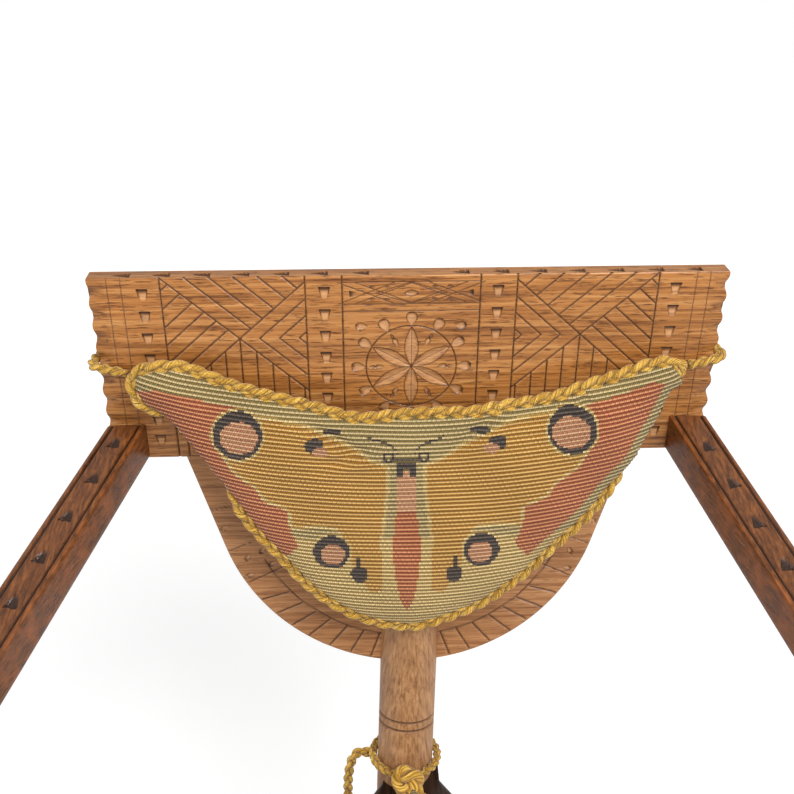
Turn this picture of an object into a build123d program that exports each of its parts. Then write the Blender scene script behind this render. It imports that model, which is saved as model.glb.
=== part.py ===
from build123d import *
import math
import os

# Three-legged armchair: a shield seat, a raked post, a half-round panel and a crest board
# Lengths in millimetres, angles in degrees
# X runs across, the front looks towards -Y, Z is up and 0 on the floor
# While it is built, X is 0 in the middle of the crest board and Y is 0 on its front face

# Overall heights
seat_top = 430.0
post_rise = 327.0

# Crest board
board_width = 540.0
board_height = 176.0
board_thickness = 16.0
scallop_count = 8
scallop_depth = 3.0
scallop_pitch = 20.6
scallop_first = 12.5

# Back post
post_diameter = 55.0
post_rake = 14.3
post_lean = 2.0
post_set_back = 6.0
post_drop = 26.0
post_end_fillet = 8.0
post_tongue_height = 82.0
ring_groove_depth = 1.6
ring_groove_width = 4.0
ring_groove_pitch = 9.0
ring_groove_height = 66.0

# Back panel
panel_half_width = 205.0
panel_side_slope = 19.0
panel_height = 216.0
panel_thickness = 14.0
panel_lead = 4.0

# Seat
seat_thickness = 42.0
seat_front = 492.0
seat_neck_width = 56.0
seat_neck_start = 92.0
seat_half_angle = 34.0
seat_corner_radius = 46.0
seat_edge_fillet = 6.0
seat_front_bow = 14.0
tongue_width = 26.0
tongue_height = 22.0
tongue_reach = 26.0
tusk_width = 9.0
tusk_depth = 14.0
tusk_height = 44.0

# Legs
leg_swell_diameter = 44.0
leg_tenon_diameter = 26.0
leg_wedge_thickness = 3.0
leg_wedge_stand = 5.0
front_leg_x = 196.0
front_leg_y = 402.0
front_leg_out = 11.0
front_leg_ahead = 8.0
rear_leg_y = 178.0
rear_leg_back = 26.0

# Arms
arm_root_inset = 16.0
arm_root_height = 18.0
arm_width = 34.0
arm_height = 34.0
left_arm_splay = 14.5
left_arm_slope = 9.5
right_arm_splay = 11.5
right_arm_slope = 12.5
arm_run = 486.0
arm_nose_fillet = 10.0
arm_edge_chamfer = 2.0
arm_groove_inset = 5.0
arm_groove_width = 2.0
arm_groove_depth = 1.5
arm_tenon_width = 16.0
arm_tenon_height = 18.0
arm_wedge_thickness = 3.0

# Arm posts
arm_post_x = 256.0
arm_post_y = 440.0
arm_post_setback = 28.0
arm_post_swell_diameter = 34.0
arm_post_tenon_diameter = 18.0
arm_tenon_stop = 9.0

# Pegs
peg_diameter = 9.0
peg_head_stand = 2.0
crest_peg_height = 52.0
crest_peg_spacing = 22.0
panel_peg_height = 46.0
panel_peg_spacing = 90.0

# Cushions and their braid
braid_diameter = 13.0
cushion_gap = 0.9
back_cushion_tilt = 16.2
back_cushion_top = 99.0
back_cushion_stand = 15.0
back_cushion_corner_inset = 44.0
back_cushion_sag = 46.0
back_cushion_height = 243.0
back_cushion_bulge = 25.0
back_cushion_crown = 17.0
seat_cushion_inset = 18.0
seat_cushion_rear = 118.0
seat_cushion_half_width = 222.0
seat_cushion_draw = 12.0
seat_cushion_half_thickness = 21.0

# Ties
tie_diameter = 8.0
tie_gap = 0.3
tie_height = 97.0
tie_end_drop = 7.0
tie_start_inset = 26.0
tie_knot_diameter = 20.0
tie_ring_height = 16.0
post_knot_diameter = 26.0
post_knot_lead = 16.0

overrun = 20.0

# Tapers, reaches and bends, as shares of the size that they belong to
tusk_taper_share = 0.6
leg_wedge_share = 0.6
peg_reach_share = 0.6
tie_bend_share = 0.7
tail_bend_share = 0.45

board_bottom = seat_top + post_rise
board_top = board_bottom + board_height
arm_root_x = board_width / 2 - arm_root_inset
back_cushion_half_width = board_width / 2 - back_cushion_corner_inset
post_radius = post_diameter / 2
tan_rake = math.tan(math.radians(post_rake))
seat_underside = seat_top - seat_thickness

# Widths along a turned leg, from its shoulder to its foot, as shares of its length and swell
leg_profile_shares = ((0.0, 0.78), (0.10, 0.86), (0.30, 1.0), (0.62, 0.90), (1.0, 0.68))
# Grooves along a turned leg, as shares of its length
leg_groove_shares = (0.17, 0.20, 0.72)
# Widths along an arm post, from the seat to the arm, as shares of its length and swell
arm_post_profile_shares = ((0.0, 0.76), (0.34, 1.0), (0.7, 0.86), (1.0, 0.70))
arm_post_groove_shares = (0.14, 0.52, 0.57)
# Centre that a cushion's sections draw in to, from its long side towards its tip, as a share
cushion_middle_share = 0.54
seat_cushion_middle_share = 0.36
# Straight runs along each side of a cushion's braid
tube_runs = 6
# Sections through a cushion from its middle to its face, as shares of its width and crown
cushion_section_shares = ((1.0, 0.0), (0.93, 0.52), (0.72, 0.86), (0.36, 1.0))

post_frame = (
    Pos(0, post_set_back - post_rise * tan_rake, seat_top)
    * Rot(-post_rake, 0, 0)
    * Pos(0, 0, post_rise / 2)
    * Rot(0, post_lean, 0)
    * Pos(0, 0, -post_rise / 2)
)
panel_frame = Pos(0, post_set_back, board_bottom) * Rot(-post_rake, 0, 0)


def rod(start, end, radius):
    """A plain round rod from one point to another."""
    axis = Vector(*end) - Vector(*start)
    plane = Plane(origin=start, z_dir=axis)
    return extrude(plane * Circle(radius), amount=axis.length)


def block(x_span, y_span, z_span):
    """A box given by its two limits along each axis."""
    size = [high - low for low, high in (x_span, y_span, z_span)]
    middle = [(high + low) / 2 for low, high in (x_span, y_span, z_span)]
    return Pos(*middle) * Box(*size)


def turned(start, end, profile_shares, groove_shares, swell):
    """A turned stick between two points, with ring grooves, run on past both of them."""
    axis = Vector(*end) - Vector(*start)
    length = axis.length
    radii = [(share * length, width_share * swell / 2) for share, width_share in profile_shares]
    first, last = radii[0], radii[-1]
    outline = Polyline((-overrun, 0), (-overrun, first[1]), first)
    outline += Spline(*radii)
    outline += Polyline(last, (length + overrun, last[1]), (length + overrun, 0), (-overrun, 0))
    profile = make_face(outline)
    for share in groove_shares:
        place = share * length
        before, after = next(pair for pair in zip(radii, radii[1:]) if pair[1][0] >= place)
        part = (place - before[0]) / (after[0] - before[0])
        radius = before[1] + part * (after[1] - before[1])
        profile -= Pos(place, radius + ring_groove_width / 4) * Circle(ring_groove_width / 2)
    body = revolve(profile, Axis.X)
    return Plane(origin=start, x_dir=axis, z_dir=axis.cross(Vector(0, 1, 0))).location * body


def seat_outline():
    """The seat seen from above, as a face at its own height."""
    half_neck = seat_neck_width / 2
    half_front = half_neck + (seat_front - seat_neck_start) * math.tan(math.radians(seat_half_angle))
    rear = -seat_neck_start + post_radius / 2
    points = [
        (-half_neck, rear), (-half_neck, -seat_neck_start), (-half_front, -seat_front),
        (half_front, -seat_front), (half_neck, -seat_neck_start), (half_neck, rear),
    ]
    edges = Line(points[5], points[0]) + Line(points[0], points[1]) + Line(points[1], points[2])
    edges += ThreePointArc(points[2], (0, -seat_front - seat_front_bow), points[3])
    edges += Line(points[3], points[4]) + Line(points[4], points[5])
    face = make_face(edges)
    corners = [v for v in face.vertices() if v.Y < -seat_front + seat_front_bow]
    return fillet(corners, seat_corner_radius)


def post_axis_at(height):
    """The point of the back post's axis at one height above the floor."""
    low = post_frame * Pos(0, 0, -seat_top)
    high = post_frame * Pos(0, 0, post_rise * 2)
    start, end = low.position, high.position
    share = (height - start.Z) / (end.Z - start.Z)
    return start + (end - start) * share


# Lines of the legs: shoulder under the seat and foot on the floor
def leg_line(x, y, out, ahead):
    foot_x = x + seat_underside * math.tan(math.radians(out))
    foot_y = y - seat_underside * math.tan(math.radians(ahead))
    return (x, y, seat_underside), (foot_x, foot_y, 0.0)


leg_lines = {
    "rear_leg": leg_line(0, -rear_leg_y, 0, -rear_leg_back),
    "left_front_leg": leg_line(-front_leg_x, -front_leg_y, -front_leg_out, front_leg_ahead),
    "right_front_leg": leg_line(front_leg_x, -front_leg_y, front_leg_out, front_leg_ahead),
}


def extended(start, end, length):
    """The point past the start of a line, by a length, away from its end."""
    axis = (Vector(*start) - Vector(*end)).normalized()
    return tuple(Vector(*start) + axis * length)


def arm_frame(side):
    root = Pos(side * arm_root_x, 0, board_bottom + arm_root_height)
    splay = right_arm_splay if side > 0 else left_arm_splay
    slope = right_arm_slope if side > 0 else left_arm_slope
    return root * Rot(0, 0, side * splay) * Rot(slope, 0, 0)


def arm_post_line(side):
    """From the seat's top to the middle of the arm."""
    top = arm_frame(side) * Pos(0, -arm_run + arm_post_setback, 0)
    base = Vector(side * arm_post_x, -arm_post_y, seat_top)
    return tuple(base), tuple(top.position)


def make_seat():
    slab = extrude(Pos(0, 0, seat_underside) * seat_outline(), amount=seat_thickness)
    rims = slab.edges().filter_by(lambda edge: abs(edge.center().Z - seat_top) < seat_edge_fillet)
    rims = rims.filter_by(lambda edge: edge.center().Y < -seat_neck_start)
    slab = fillet(rims, seat_edge_fillet)
    slab -= post_frame * Cylinder(post_radius, 2 * (seat_thickness + post_drop) + post_rise)
    mid = post_axis_at(seat_top - seat_thickness / 2)
    tongue_x = (mid.X - tongue_width / 2, mid.X + tongue_width / 2)
    tongue_y = (-seat_neck_start - post_radius, mid.Y + post_radius + tongue_reach)
    middle = seat_top - seat_thickness / 2
    tongue_z = (middle - tongue_height / 2, middle + tongue_height / 2)
    slab += block(tongue_x, tongue_y, tongue_z)
    slab -= make_tusk()
    for start, end in leg_lines.values():
        slab -= rod(extended(start, end, 2 * seat_thickness), end, leg_tenon_diameter / 2)
    for side in (-1, 1):
        base, top = arm_post_line(side)
        slab -= rod(extended(base, top, 2 * seat_thickness), top, arm_post_tenon_diameter / 2)
    return slab


def make_tusk():
    """The upright wedge behind the post that draws the seat's tongue tight."""
    middle = seat_top - seat_thickness / 2
    mid = post_axis_at(middle)
    half_width = tusk_width / 2
    front = mid.Y + post_radius / math.cos(math.radians(post_rake))
    top, bottom = middle + tusk_height / 2, middle - tusk_height / 2
    lean = tusk_height / 2 * tan_rake
    side_view = Polyline(
        (front + lean, top), (front + lean + tusk_depth, top),
        (front - lean + tusk_depth * tusk_taper_share, bottom), (front - lean, bottom), close=True)
    face = Plane(origin=(mid.X - half_width, 0, 0), x_dir=(0, 1, 0), z_dir=(1, 0, 0)) * make_face(side_view)
    return extrude(face, amount=tusk_width)


def make_leg(name):
    start, end = leg_lines[name]
    leg = turned(start, end, leg_profile_shares, leg_groove_shares, leg_swell_diameter)
    reach = seat_front
    leg &= block((-reach, reach), (-2 * reach, reach), (0, seat_underside))
    tenon = rod(extended(start, end, 2 * seat_thickness), start, leg_tenon_diameter / 2)
    tenon &= block((-reach, reach), (-2 * reach, reach), (seat_underside, seat_top))
    return leg + tenon - make_leg_wedge(name)


def make_leg_wedge(name):
    """A thin wedge driven into the top of a leg's tenon."""
    start, end = leg_lines[name]
    top = extended(start, end, seat_thickness)
    half, thin = leg_tenon_diameter / 2, leg_wedge_thickness / 2
    face = make_face(Polyline((-thin, 0), (thin, 0), (0, -seat_thickness * leg_wedge_share), close=True))
    wedge = extrude(Plane.XZ * face, amount=half, both=True)
    axis = Vector(*start) - Vector(*end)
    place = Plane(origin=top, x_dir=Vector(1, 0, 0), z_dir=axis)
    tenon = rod(extended(start, end, 2 * seat_thickness), start, half)
    reach = seat_front
    below = block((-reach, reach), (-2 * reach, reach), (seat_underside, seat_top))
    return (place.location * Pos(0, 0, leg_wedge_stand) * wedge) & tenon & below


def panel_outline():
    """The half-round panel in its own plane, its top edge on zero."""
    slope = math.radians(panel_side_slope)
    centre = (panel_half_width * math.cos(slope) - panel_height) / (1 - math.sin(slope))
    radius = panel_height + centre
    meet = (radius * math.cos(slope), centre - radius * math.sin(slope))
    lines = Line((-panel_half_width, 0), (panel_half_width, 0))
    lines += Line((panel_half_width, 0), meet)
    lines += ThreePointArc(meet, (0, -panel_height), (-meet[0], meet[1]))
    lines += Line((-meet[0], meet[1]), (-panel_half_width, 0))
    return make_face(lines)


def make_panel_blank():
    face = Plane.XZ * panel_outline()
    plate = extrude(face, amount=panel_thickness)
    return panel_frame * Pos(0, panel_thickness - panel_lead, 0) * plate


def make_panel():
    panel = make_panel_blank()
    reach = board_width
    panel &= block((-reach, reach), (-reach, reach), (seat_top, board_bottom))
    return panel - panel_pegs()


def panel_pegs():
    """Two pegs from behind, through the post and the panel that it holds."""
    pegs = []
    for height in (panel_peg_height, panel_peg_height + panel_peg_spacing):
        middle = panel_frame * Pos(post_lean_shift(height), 0, -height)
        front = middle * Pos(0, -post_radius * peg_reach_share, 0)
        back = middle * Pos(0, post_radius + peg_head_stand, 0)
        pegs.append(rod(tuple(front.position), tuple(back.position), peg_diameter / 2))
    return pegs


def post_lean_shift(below_board):
    return (post_rise / 2 - below_board) * math.tan(math.radians(post_lean))


def make_post():
    tongue_top = board_bottom + post_tongue_height
    length_below = seat_thickness + post_drop
    length_above = post_rise + 2 * post_tongue_height
    shaft = Cylinder(post_radius, length_below + length_above, align=(Align.CENTER, Align.CENTER, Align.MIN))
    shaft = fillet(shaft.edges().sort_by(Axis.Z)[0], post_end_fillet)
    shaft = Pos(0, 0, -length_below) * shaft
    for step in range(2):
        height = ring_groove_height - step * ring_groove_pitch
        centre = post_radius + ring_groove_width / 2 - ring_groove_depth
        shaft -= Pos(0, 0, height) * Torus(centre, ring_groove_width / 2)
    post = post_frame * shaft
    reach = board_width
    post -= block((-reach, reach), (-reach, board_thickness), (board_bottom, 2 * board_top))
    post -= block((-reach, reach), (-reach, reach), (tongue_top, 2 * board_top))
    slot = block((-reach, reach), (-panel_lead, panel_thickness - panel_lead), (-panel_height, overrun))
    post -= panel_frame * (slot & block((-reach, reach), (-reach, reach), (-panel_height, 0)))
    post -= make_seat_tongue_hole()
    for peg in panel_pegs() + crest_pegs():
        post -= peg
    return post


def make_seat_tongue_hole():
    middle = seat_top - seat_thickness / 2
    mid = post_axis_at(middle)
    return block((mid.X - tongue_width / 2, mid.X + tongue_width / 2),
                 (-seat_neck_start - post_diameter, mid.Y + post_diameter),
                 (middle - tongue_height / 2, middle + tongue_height / 2))


def crest_pegs():
    """Two pegs through the tongue of the post into the crest board, level with each other."""
    pegs = []
    height = board_bottom + crest_peg_height
    back = post_axis_at(height).Y + post_radius + peg_head_stand
    for side in (-1, 1):
        x = post_axis_at(height).X + side * crest_peg_spacing / 2
        pegs.append(rod((x, board_thickness / 2, height), (x, back, height), peg_diameter / 2))
    return pegs


def make_board():
    """The crest board, its two ends cut in shallow scallops."""
    half = board_width / 2
    board = block((-half, half), (0, board_thickness), (board_bottom, board_top))
    radius = (scallop_pitch ** 2 / 4 + scallop_depth ** 2) / (2 * scallop_depth)
    for side in (-1, 1):
        for index in range(scallop_count):
            z = board_top - scallop_first - index * scallop_pitch
            x = side * (half + radius - scallop_depth)
            scoop = Cylinder(radius, 2 * board_thickness + overrun)
            board -= Pos(x, 0, z) * Rot(90, 0, 0) * scoop
        board -= arm_tenon(side)
    for peg in crest_pegs():
        board -= peg
    return board


def arm_tenon(side):
    x, z = side * arm_root_x, board_bottom + arm_root_height
    half_width, half_height = arm_tenon_width / 2, arm_tenon_height / 2
    x -= side * half_width / 2
    return block((x - half_width, x + half_width), (-arm_width / 2, board_thickness),
                 (z - half_height, z + half_height))


def arm_wedge(side):
    """A thin upright wedge driven into the arm's tenon from behind the board."""
    x, z = side * (arm_root_x - arm_tenon_width / 4), board_bottom + arm_root_height
    thin = arm_wedge_thickness / 2
    face = make_face(Polyline((x - thin, board_thickness), (x + thin, board_thickness), (x, 0), close=True))
    return extrude(Pos(0, 0, z - arm_tenon_height / 2) * face, amount=arm_tenon_height)


def make_arm(side):
    bar = block((-arm_width / 2, arm_width / 2), (-arm_run, overrun), (-arm_height / 2, arm_height / 2))
    nose = bar.edges().filter_by(Axis.X).group_by(Axis.Y)[0]
    bar = fillet(nose, arm_nose_fillet)
    long_edges = bar.edges().filter_by(Axis.Y)
    bar = chamfer(long_edges, arm_edge_chamfer)
    for edge in (-1, 1):
        x = edge * (arm_width / 2 - arm_groove_inset)
        top = arm_height / 2
        across = (x - arm_groove_width / 2, x + arm_groove_width / 2)
        bar -= block(across, (-arm_run + arm_nose_fillet, overrun), (top - arm_groove_depth, top + overrun))
    arm = arm_frame(side) * bar
    reach = 2 * board_width
    arm &= block((-reach, reach), (-reach, 0), (0, reach))
    arm += arm_tenon(side)
    arm -= arm_wedge(side)
    return arm - arm_post_tenon(side)


def arm_post_tenon(side):
    base, top = arm_post_line(side)
    stop = extended(top, base, arm_height / 2 - arm_tenon_stop)
    return rod(base, stop, arm_post_tenon_diameter / 2)


def make_arm_post(side):
    base, top = arm_post_line(side)
    post = turned(base, top, arm_post_profile_shares, arm_post_groove_shares, arm_post_swell_diameter)
    reach = 2 * board_width
    post &= block((-reach, reach), (-reach, reach), (seat_top, reach))
    under_arm = arm_frame(side) * block((-reach, reach), (-reach, reach), (-arm_height / 2, reach))
    post -= under_arm
    seat_tenon = rod(extended(base, top, 2 * seat_thickness), base, arm_post_tenon_diameter / 2)
    seat_tenon &= block((-reach, reach), (-reach, reach), (seat_underside, seat_top + overrun))
    return post + seat_tenon + arm_post_tenon(side)


cushion_frame = (
    Pos(0, -back_cushion_stand, board_bottom + back_cushion_top) * Rot(-back_cushion_tilt, 0, 0)
)


def back_cushion_arcs():
    """The back cushion's outline, from corner to corner, along the middle of its braid."""
    left, right = (-back_cushion_half_width, 0.0), (back_cushion_half_width, 0.0)
    tip = (0.0, -back_cushion_height)
    top_mid = (0.0, -back_cushion_sag)
    bulge = back_cushion_bulge * math.sqrt(0.5)
    right_mid = ((right[0] + tip[0]) / 2 + bulge, (right[1] + tip[1]) / 2 - bulge)
    left_mid = (-right_mid[0], right_mid[1])
    return [
        ThreePointArc(left, top_mid, right),
        ThreePointArc(right, right_mid, tip),
        ThreePointArc(tip, left_mid, left),
    ]


def shrunk(arcs, centre, share, height):
    """A face with the outline of some arcs, drawn in towards a centre, at one height."""
    middle = Vector(centre[0], centre[1], 0)
    edges = []
    for arc in arcs:
        points = [middle + (arc @ place - middle) * share for place in (0, 0.5, 1)]
        edges.append(ThreePointArc(*[point + Vector(0, 0, height) for point in points]))
    return make_face(edges)


def crowned(arcs, centre, crown):
    """A cushion inside its braid, lofted through sections that shrink towards its two faces."""
    nearest = min(arc.distance_to(Vertex(centre[0], centre[1], 0)) for arc in arcs)
    fit = 1 - (braid_diameter / 2 + cushion_gap) / nearest
    sections = []
    for width_share, crown_share in reversed(cushion_section_shares[1:]):
        sections.append((width_share, -crown_share * crown))
    for width_share, crown_share in cushion_section_shares:
        sections.append((width_share, crown_share * crown))
    faces = [shrunk(arcs, centre, width_share * fit, height) for width_share, height in sections]
    return loft(faces, ruled=True)


def tube(arcs, radius):
    """One closed tube along arcs that meet at corners, bent in short straight runs."""
    points = [arc @ (step / tube_runs) for arc in arcs for step in range(tube_runs)]
    half_way = (points[0] + points[1]) / 2
    path = Polyline(half_way, *points[1:], points[0], half_way)
    plane = Plane(origin=half_way, z_dir=points[1] - points[0])
    return sweep(plane * Circle(radius), path=path, transition=Transition.ROUND)


def make_back_cushion():
    centre = (0, -back_cushion_height * cushion_middle_share)
    body = crowned(back_cushion_arcs(), centre, back_cushion_crown)
    return cushion_frame * Rot(90, 0, 0) * body - make_back_braid()


def make_back_braid():
    braid = cushion_frame * Rot(90, 0, 0) * tube(back_cushion_arcs(), braid_diameter / 2)
    return braid - make_tie_knot(-1) - make_tie_knot(1)


def seat_cushion_arcs():
    """The seat cushion's outline, drawn in between its corners, along the middle of its braid."""
    front = -seat_front + seat_cushion_inset
    half = seat_cushion_half_width
    rear = (0.0, -seat_cushion_rear)
    left, right = (-half, front), (half, front)
    inward = seat_cushion_draw / math.hypot(half, front - rear[1])
    mid_x = half / 2 + inward * (front - rear[1])
    mid_y = (front + rear[1]) / 2 - inward * half
    return [
        ThreePointArc(left, (0.0, front + seat_cushion_draw), right),
        ThreePointArc(right, (mid_x, mid_y), rear),
        ThreePointArc(rear, (-mid_x, mid_y), left),
    ]


seat_cushion_frame = Pos(0, 0, seat_top + seat_cushion_half_thickness + cushion_gap)


def make_seat_cushion():
    centre = (0, -seat_front + (seat_front - seat_cushion_rear) * seat_cushion_middle_share)
    body = crowned(seat_cushion_arcs(), centre, seat_cushion_half_thickness)
    return seat_cushion_frame * body


def make_seat_braid():
    return seat_cushion_frame * tube(seat_cushion_arcs(), braid_diameter / 2) - make_post_knot()


def make_back_tie():
    """The cord behind the board that holds the back cushion's upper corners, drawn tight."""
    stand = tie_diameter / 2 + tie_gap
    end = board_width / 2 + stand
    height = board_bottom + tie_height
    start = board_width / 2 - tie_start_inset
    points = [
        (-start, -stand, height - tie_end_drop), (-end, -stand, height),
        (-end, board_thickness + stand, height), (end, board_thickness + stand, height),
        (end, -stand, height), (start, -stand, height - tie_end_drop),
    ]
    path = FilletPolyline(*points, radius=tie_diameter * tie_bend_share)
    tie = sweep(Plane(origin=path @ 0, z_dir=path % 0) * Circle(tie_diameter / 2), path=path)
    return tie - make_tie_knot(-1) - make_tie_knot(1)


def make_tie_knot(side):
    """A knot where the tie meets a corner of the back cushion."""
    radius = tie_knot_diameter / 2
    x = side * (board_width / 2 - tie_start_inset - radius)
    z = board_bottom + tie_height - tie_end_drop
    return Pos(x, -radius - tie_gap, z) * Sphere(radius)


def make_post_ring():
    """The seat cushion's cord, once round the foot of the post."""
    around = post_radius + tie_diameter / 2 + tie_gap
    return post_frame * Pos(0, 0, tie_ring_height) * Torus(around, tie_diameter / 2) - make_post_knot()


def make_post_knot():
    """The knot of that cord, in front of the post on the corner of the cushion."""
    radius = post_knot_diameter / 2
    foot = post_axis_at(seat_top + tie_ring_height)
    y = foot.Y - post_radius - tie_diameter - post_knot_lead / 2
    return Pos(foot.X, y, seat_top + radius + tie_ring_height) * Sphere(radius)


# Route of the cord's free end, from the ring round the post, down past the seat
tail_route = [
    (-39.0, -70.0, 441.0), (-50.0, -66.0, 443.0), (-59.0, -70.0, 436.0), (-63.0, -76.0, 420.0),
    (-64.0, -80.0, 396.0), (-62.0, -82.0, 366.0), (-58.0, -82.0, 338.0), (-57.0, -80.0, 310.0),
]


def make_post_tail():
    radii = []
    points = [Vector(*point) for point in tail_route]
    for before, here, after in zip(points, points[1:], points[2:]):
        turn = math.radians((here - before).get_angle(after - here))
        run = min((here - before).length, (after - here).length)
        radii.append(tail_bend_share * run / math.tan(turn / 2))
    path = FilletPolyline(*tail_route, radius=radii)
    tail = sweep(Plane(origin=path @ 0, z_dir=path % 0) * Circle(tie_diameter / 2), path=path)
    return tail - make_post_ring()


nodes = {}
nodes["seat"] = make_seat()
nodes["post_tusk"] = make_tusk()
for leg_name in leg_lines:
    nodes[leg_name] = make_leg(leg_name)
nodes["leg_wedges"] = [make_leg_wedge(leg_name) for leg_name in leg_lines]
nodes["back_post"] = make_post()
nodes["back_panel"] = make_panel()
nodes["panel_pegs"] = panel_pegs()
nodes["crest_board"] = make_board()
nodes["crest_pegs"] = crest_pegs()
nodes["left_arm"] = make_arm(-1)
nodes["right_arm"] = make_arm(1)
nodes["arm_wedges"] = [arm_wedge(-1), arm_wedge(1)]
nodes["left_arm_post"] = make_arm_post(-1)
nodes["right_arm_post"] = make_arm_post(1)
nodes["back_cushion"] = make_back_cushion()
nodes["back_cushion_braid"] = make_back_braid()
nodes["seat_cushion"] = make_seat_cushion()
nodes["seat_cushion_braid"] = make_seat_braid()
nodes["back_tie"] = make_back_tie()
nodes["left_tie_knot"] = make_tie_knot(-1)
nodes["right_tie_knot"] = make_tie_knot(1)
nodes["post_tie"] = make_post_ring()
nodes["post_tie_knot"] = make_post_knot()
nodes["post_tie_tail"] = make_post_tail()

# The origin goes under the middle of the whole chair
whole = Compound(children=[Compound(children=list(n)) if isinstance(n, list) else n for n in nodes.values()])
limits = whole.bounding_box()
centre_x, centre_y = (limits.min.X + limits.max.X) / 2, (limits.min.Y + limits.max.Y) / 2

os.makedirs("parts", exist_ok=True)
for name, shape in nodes.items():
    solids = shape if isinstance(shape, list) else [shape]
    solids = [s for item in solids for s in item.solids()]
    moved = [Pos(-centre_x, -centre_y, 0) * s for s in solids]
    export_step(moved[0] if len(moved) == 1 else Compound(children=moved), f"parts/{name}.step")
    print(name, len(moved), round(sum(s.volume for s in moved)))
print("shift", -centre_x, -centre_y, "size", limits.size)
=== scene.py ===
import math

import bpy
import numpy as np
from mathutils import Matrix, Vector


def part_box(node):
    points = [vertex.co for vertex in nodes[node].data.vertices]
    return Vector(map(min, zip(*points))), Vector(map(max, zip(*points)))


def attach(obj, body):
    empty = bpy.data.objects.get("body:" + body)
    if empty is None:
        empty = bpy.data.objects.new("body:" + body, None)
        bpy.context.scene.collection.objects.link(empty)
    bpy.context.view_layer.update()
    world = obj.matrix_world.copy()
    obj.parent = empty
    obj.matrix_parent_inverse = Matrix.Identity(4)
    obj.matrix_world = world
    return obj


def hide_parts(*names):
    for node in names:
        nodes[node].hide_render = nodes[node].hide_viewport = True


# The chair's looks, built around its fixed frame
# Lengths are in metres, and a carving's own tables are in millimetres on its board
MM = 0.001
IMAGE_SIDE = 794

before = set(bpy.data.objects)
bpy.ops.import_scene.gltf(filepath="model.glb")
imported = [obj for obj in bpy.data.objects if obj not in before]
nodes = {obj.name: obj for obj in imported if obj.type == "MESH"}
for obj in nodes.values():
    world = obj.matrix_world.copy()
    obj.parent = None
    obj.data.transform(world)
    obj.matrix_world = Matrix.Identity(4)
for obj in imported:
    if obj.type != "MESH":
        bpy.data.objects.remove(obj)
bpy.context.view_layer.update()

board_low, board_high = (Vector(corner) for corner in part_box("crest_board"))
FACE_Y = board_low.y
BOARD_TOP = board_high.z
BOARD_BOTTOM = board_low.z
MIDDLE_X = (board_low.x + board_high.x) / 2
BOARD_HALF = (board_high.x - board_low.x) / 2
BOARD_THICK = board_high.y - board_low.y
SEAT_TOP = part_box("seat")[1][2]


def srgb(red, green, blue):
    """A colour from 0 to 255, as Blender's linear numbers."""
    out = []
    for value in (red, green, blue):
        value /= 255
        out.append(value / 12.92 if value <= 0.04045 else ((value + 0.055) / 1.055) ** 2.4)
    return (*out, 1.0)


def new_object(name, data):
    obj = bpy.data.objects.new(name, data)
    bpy.context.scene.collection.objects.link(obj)
    return obj


# Camera: solved from the board's edges in the photograph
CAMERA_BEFORE_BOARD = 0.7739
CAMERA_LEFT = 0.045
CAMERA_OVER_BOARD = 0.3216
CAMERA_YAW = math.radians(2.45)
CAMERA_PITCH = math.radians(29.49)
CAMERA_ROLL = math.radians(0.27)
FOCAL_PIXELS = 997.9


def make_camera():
    data = bpy.data.cameras.new("camera")
    data.sensor_width = 36.0
    data.lens = 36.0 * FOCAL_PIXELS / IMAGE_SIDE
    data.clip_end = 50.0
    camera = new_object("camera", data)
    turn = (Matrix.Rotation(-CAMERA_YAW, 4, "Z")
            @ Matrix.Rotation(math.pi / 2 - CAMERA_PITCH, 4, "X")
            @ Matrix.Rotation(CAMERA_ROLL, 4, "Z"))
    place = Vector((MIDDLE_X - CAMERA_LEFT, FACE_Y - CAMERA_BEFORE_BOARD, BOARD_TOP + CAMERA_OVER_BOARD))
    camera.matrix_world = Matrix.Translation(place) @ turn
    bpy.context.scene.camera = camera


# Materials

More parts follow.
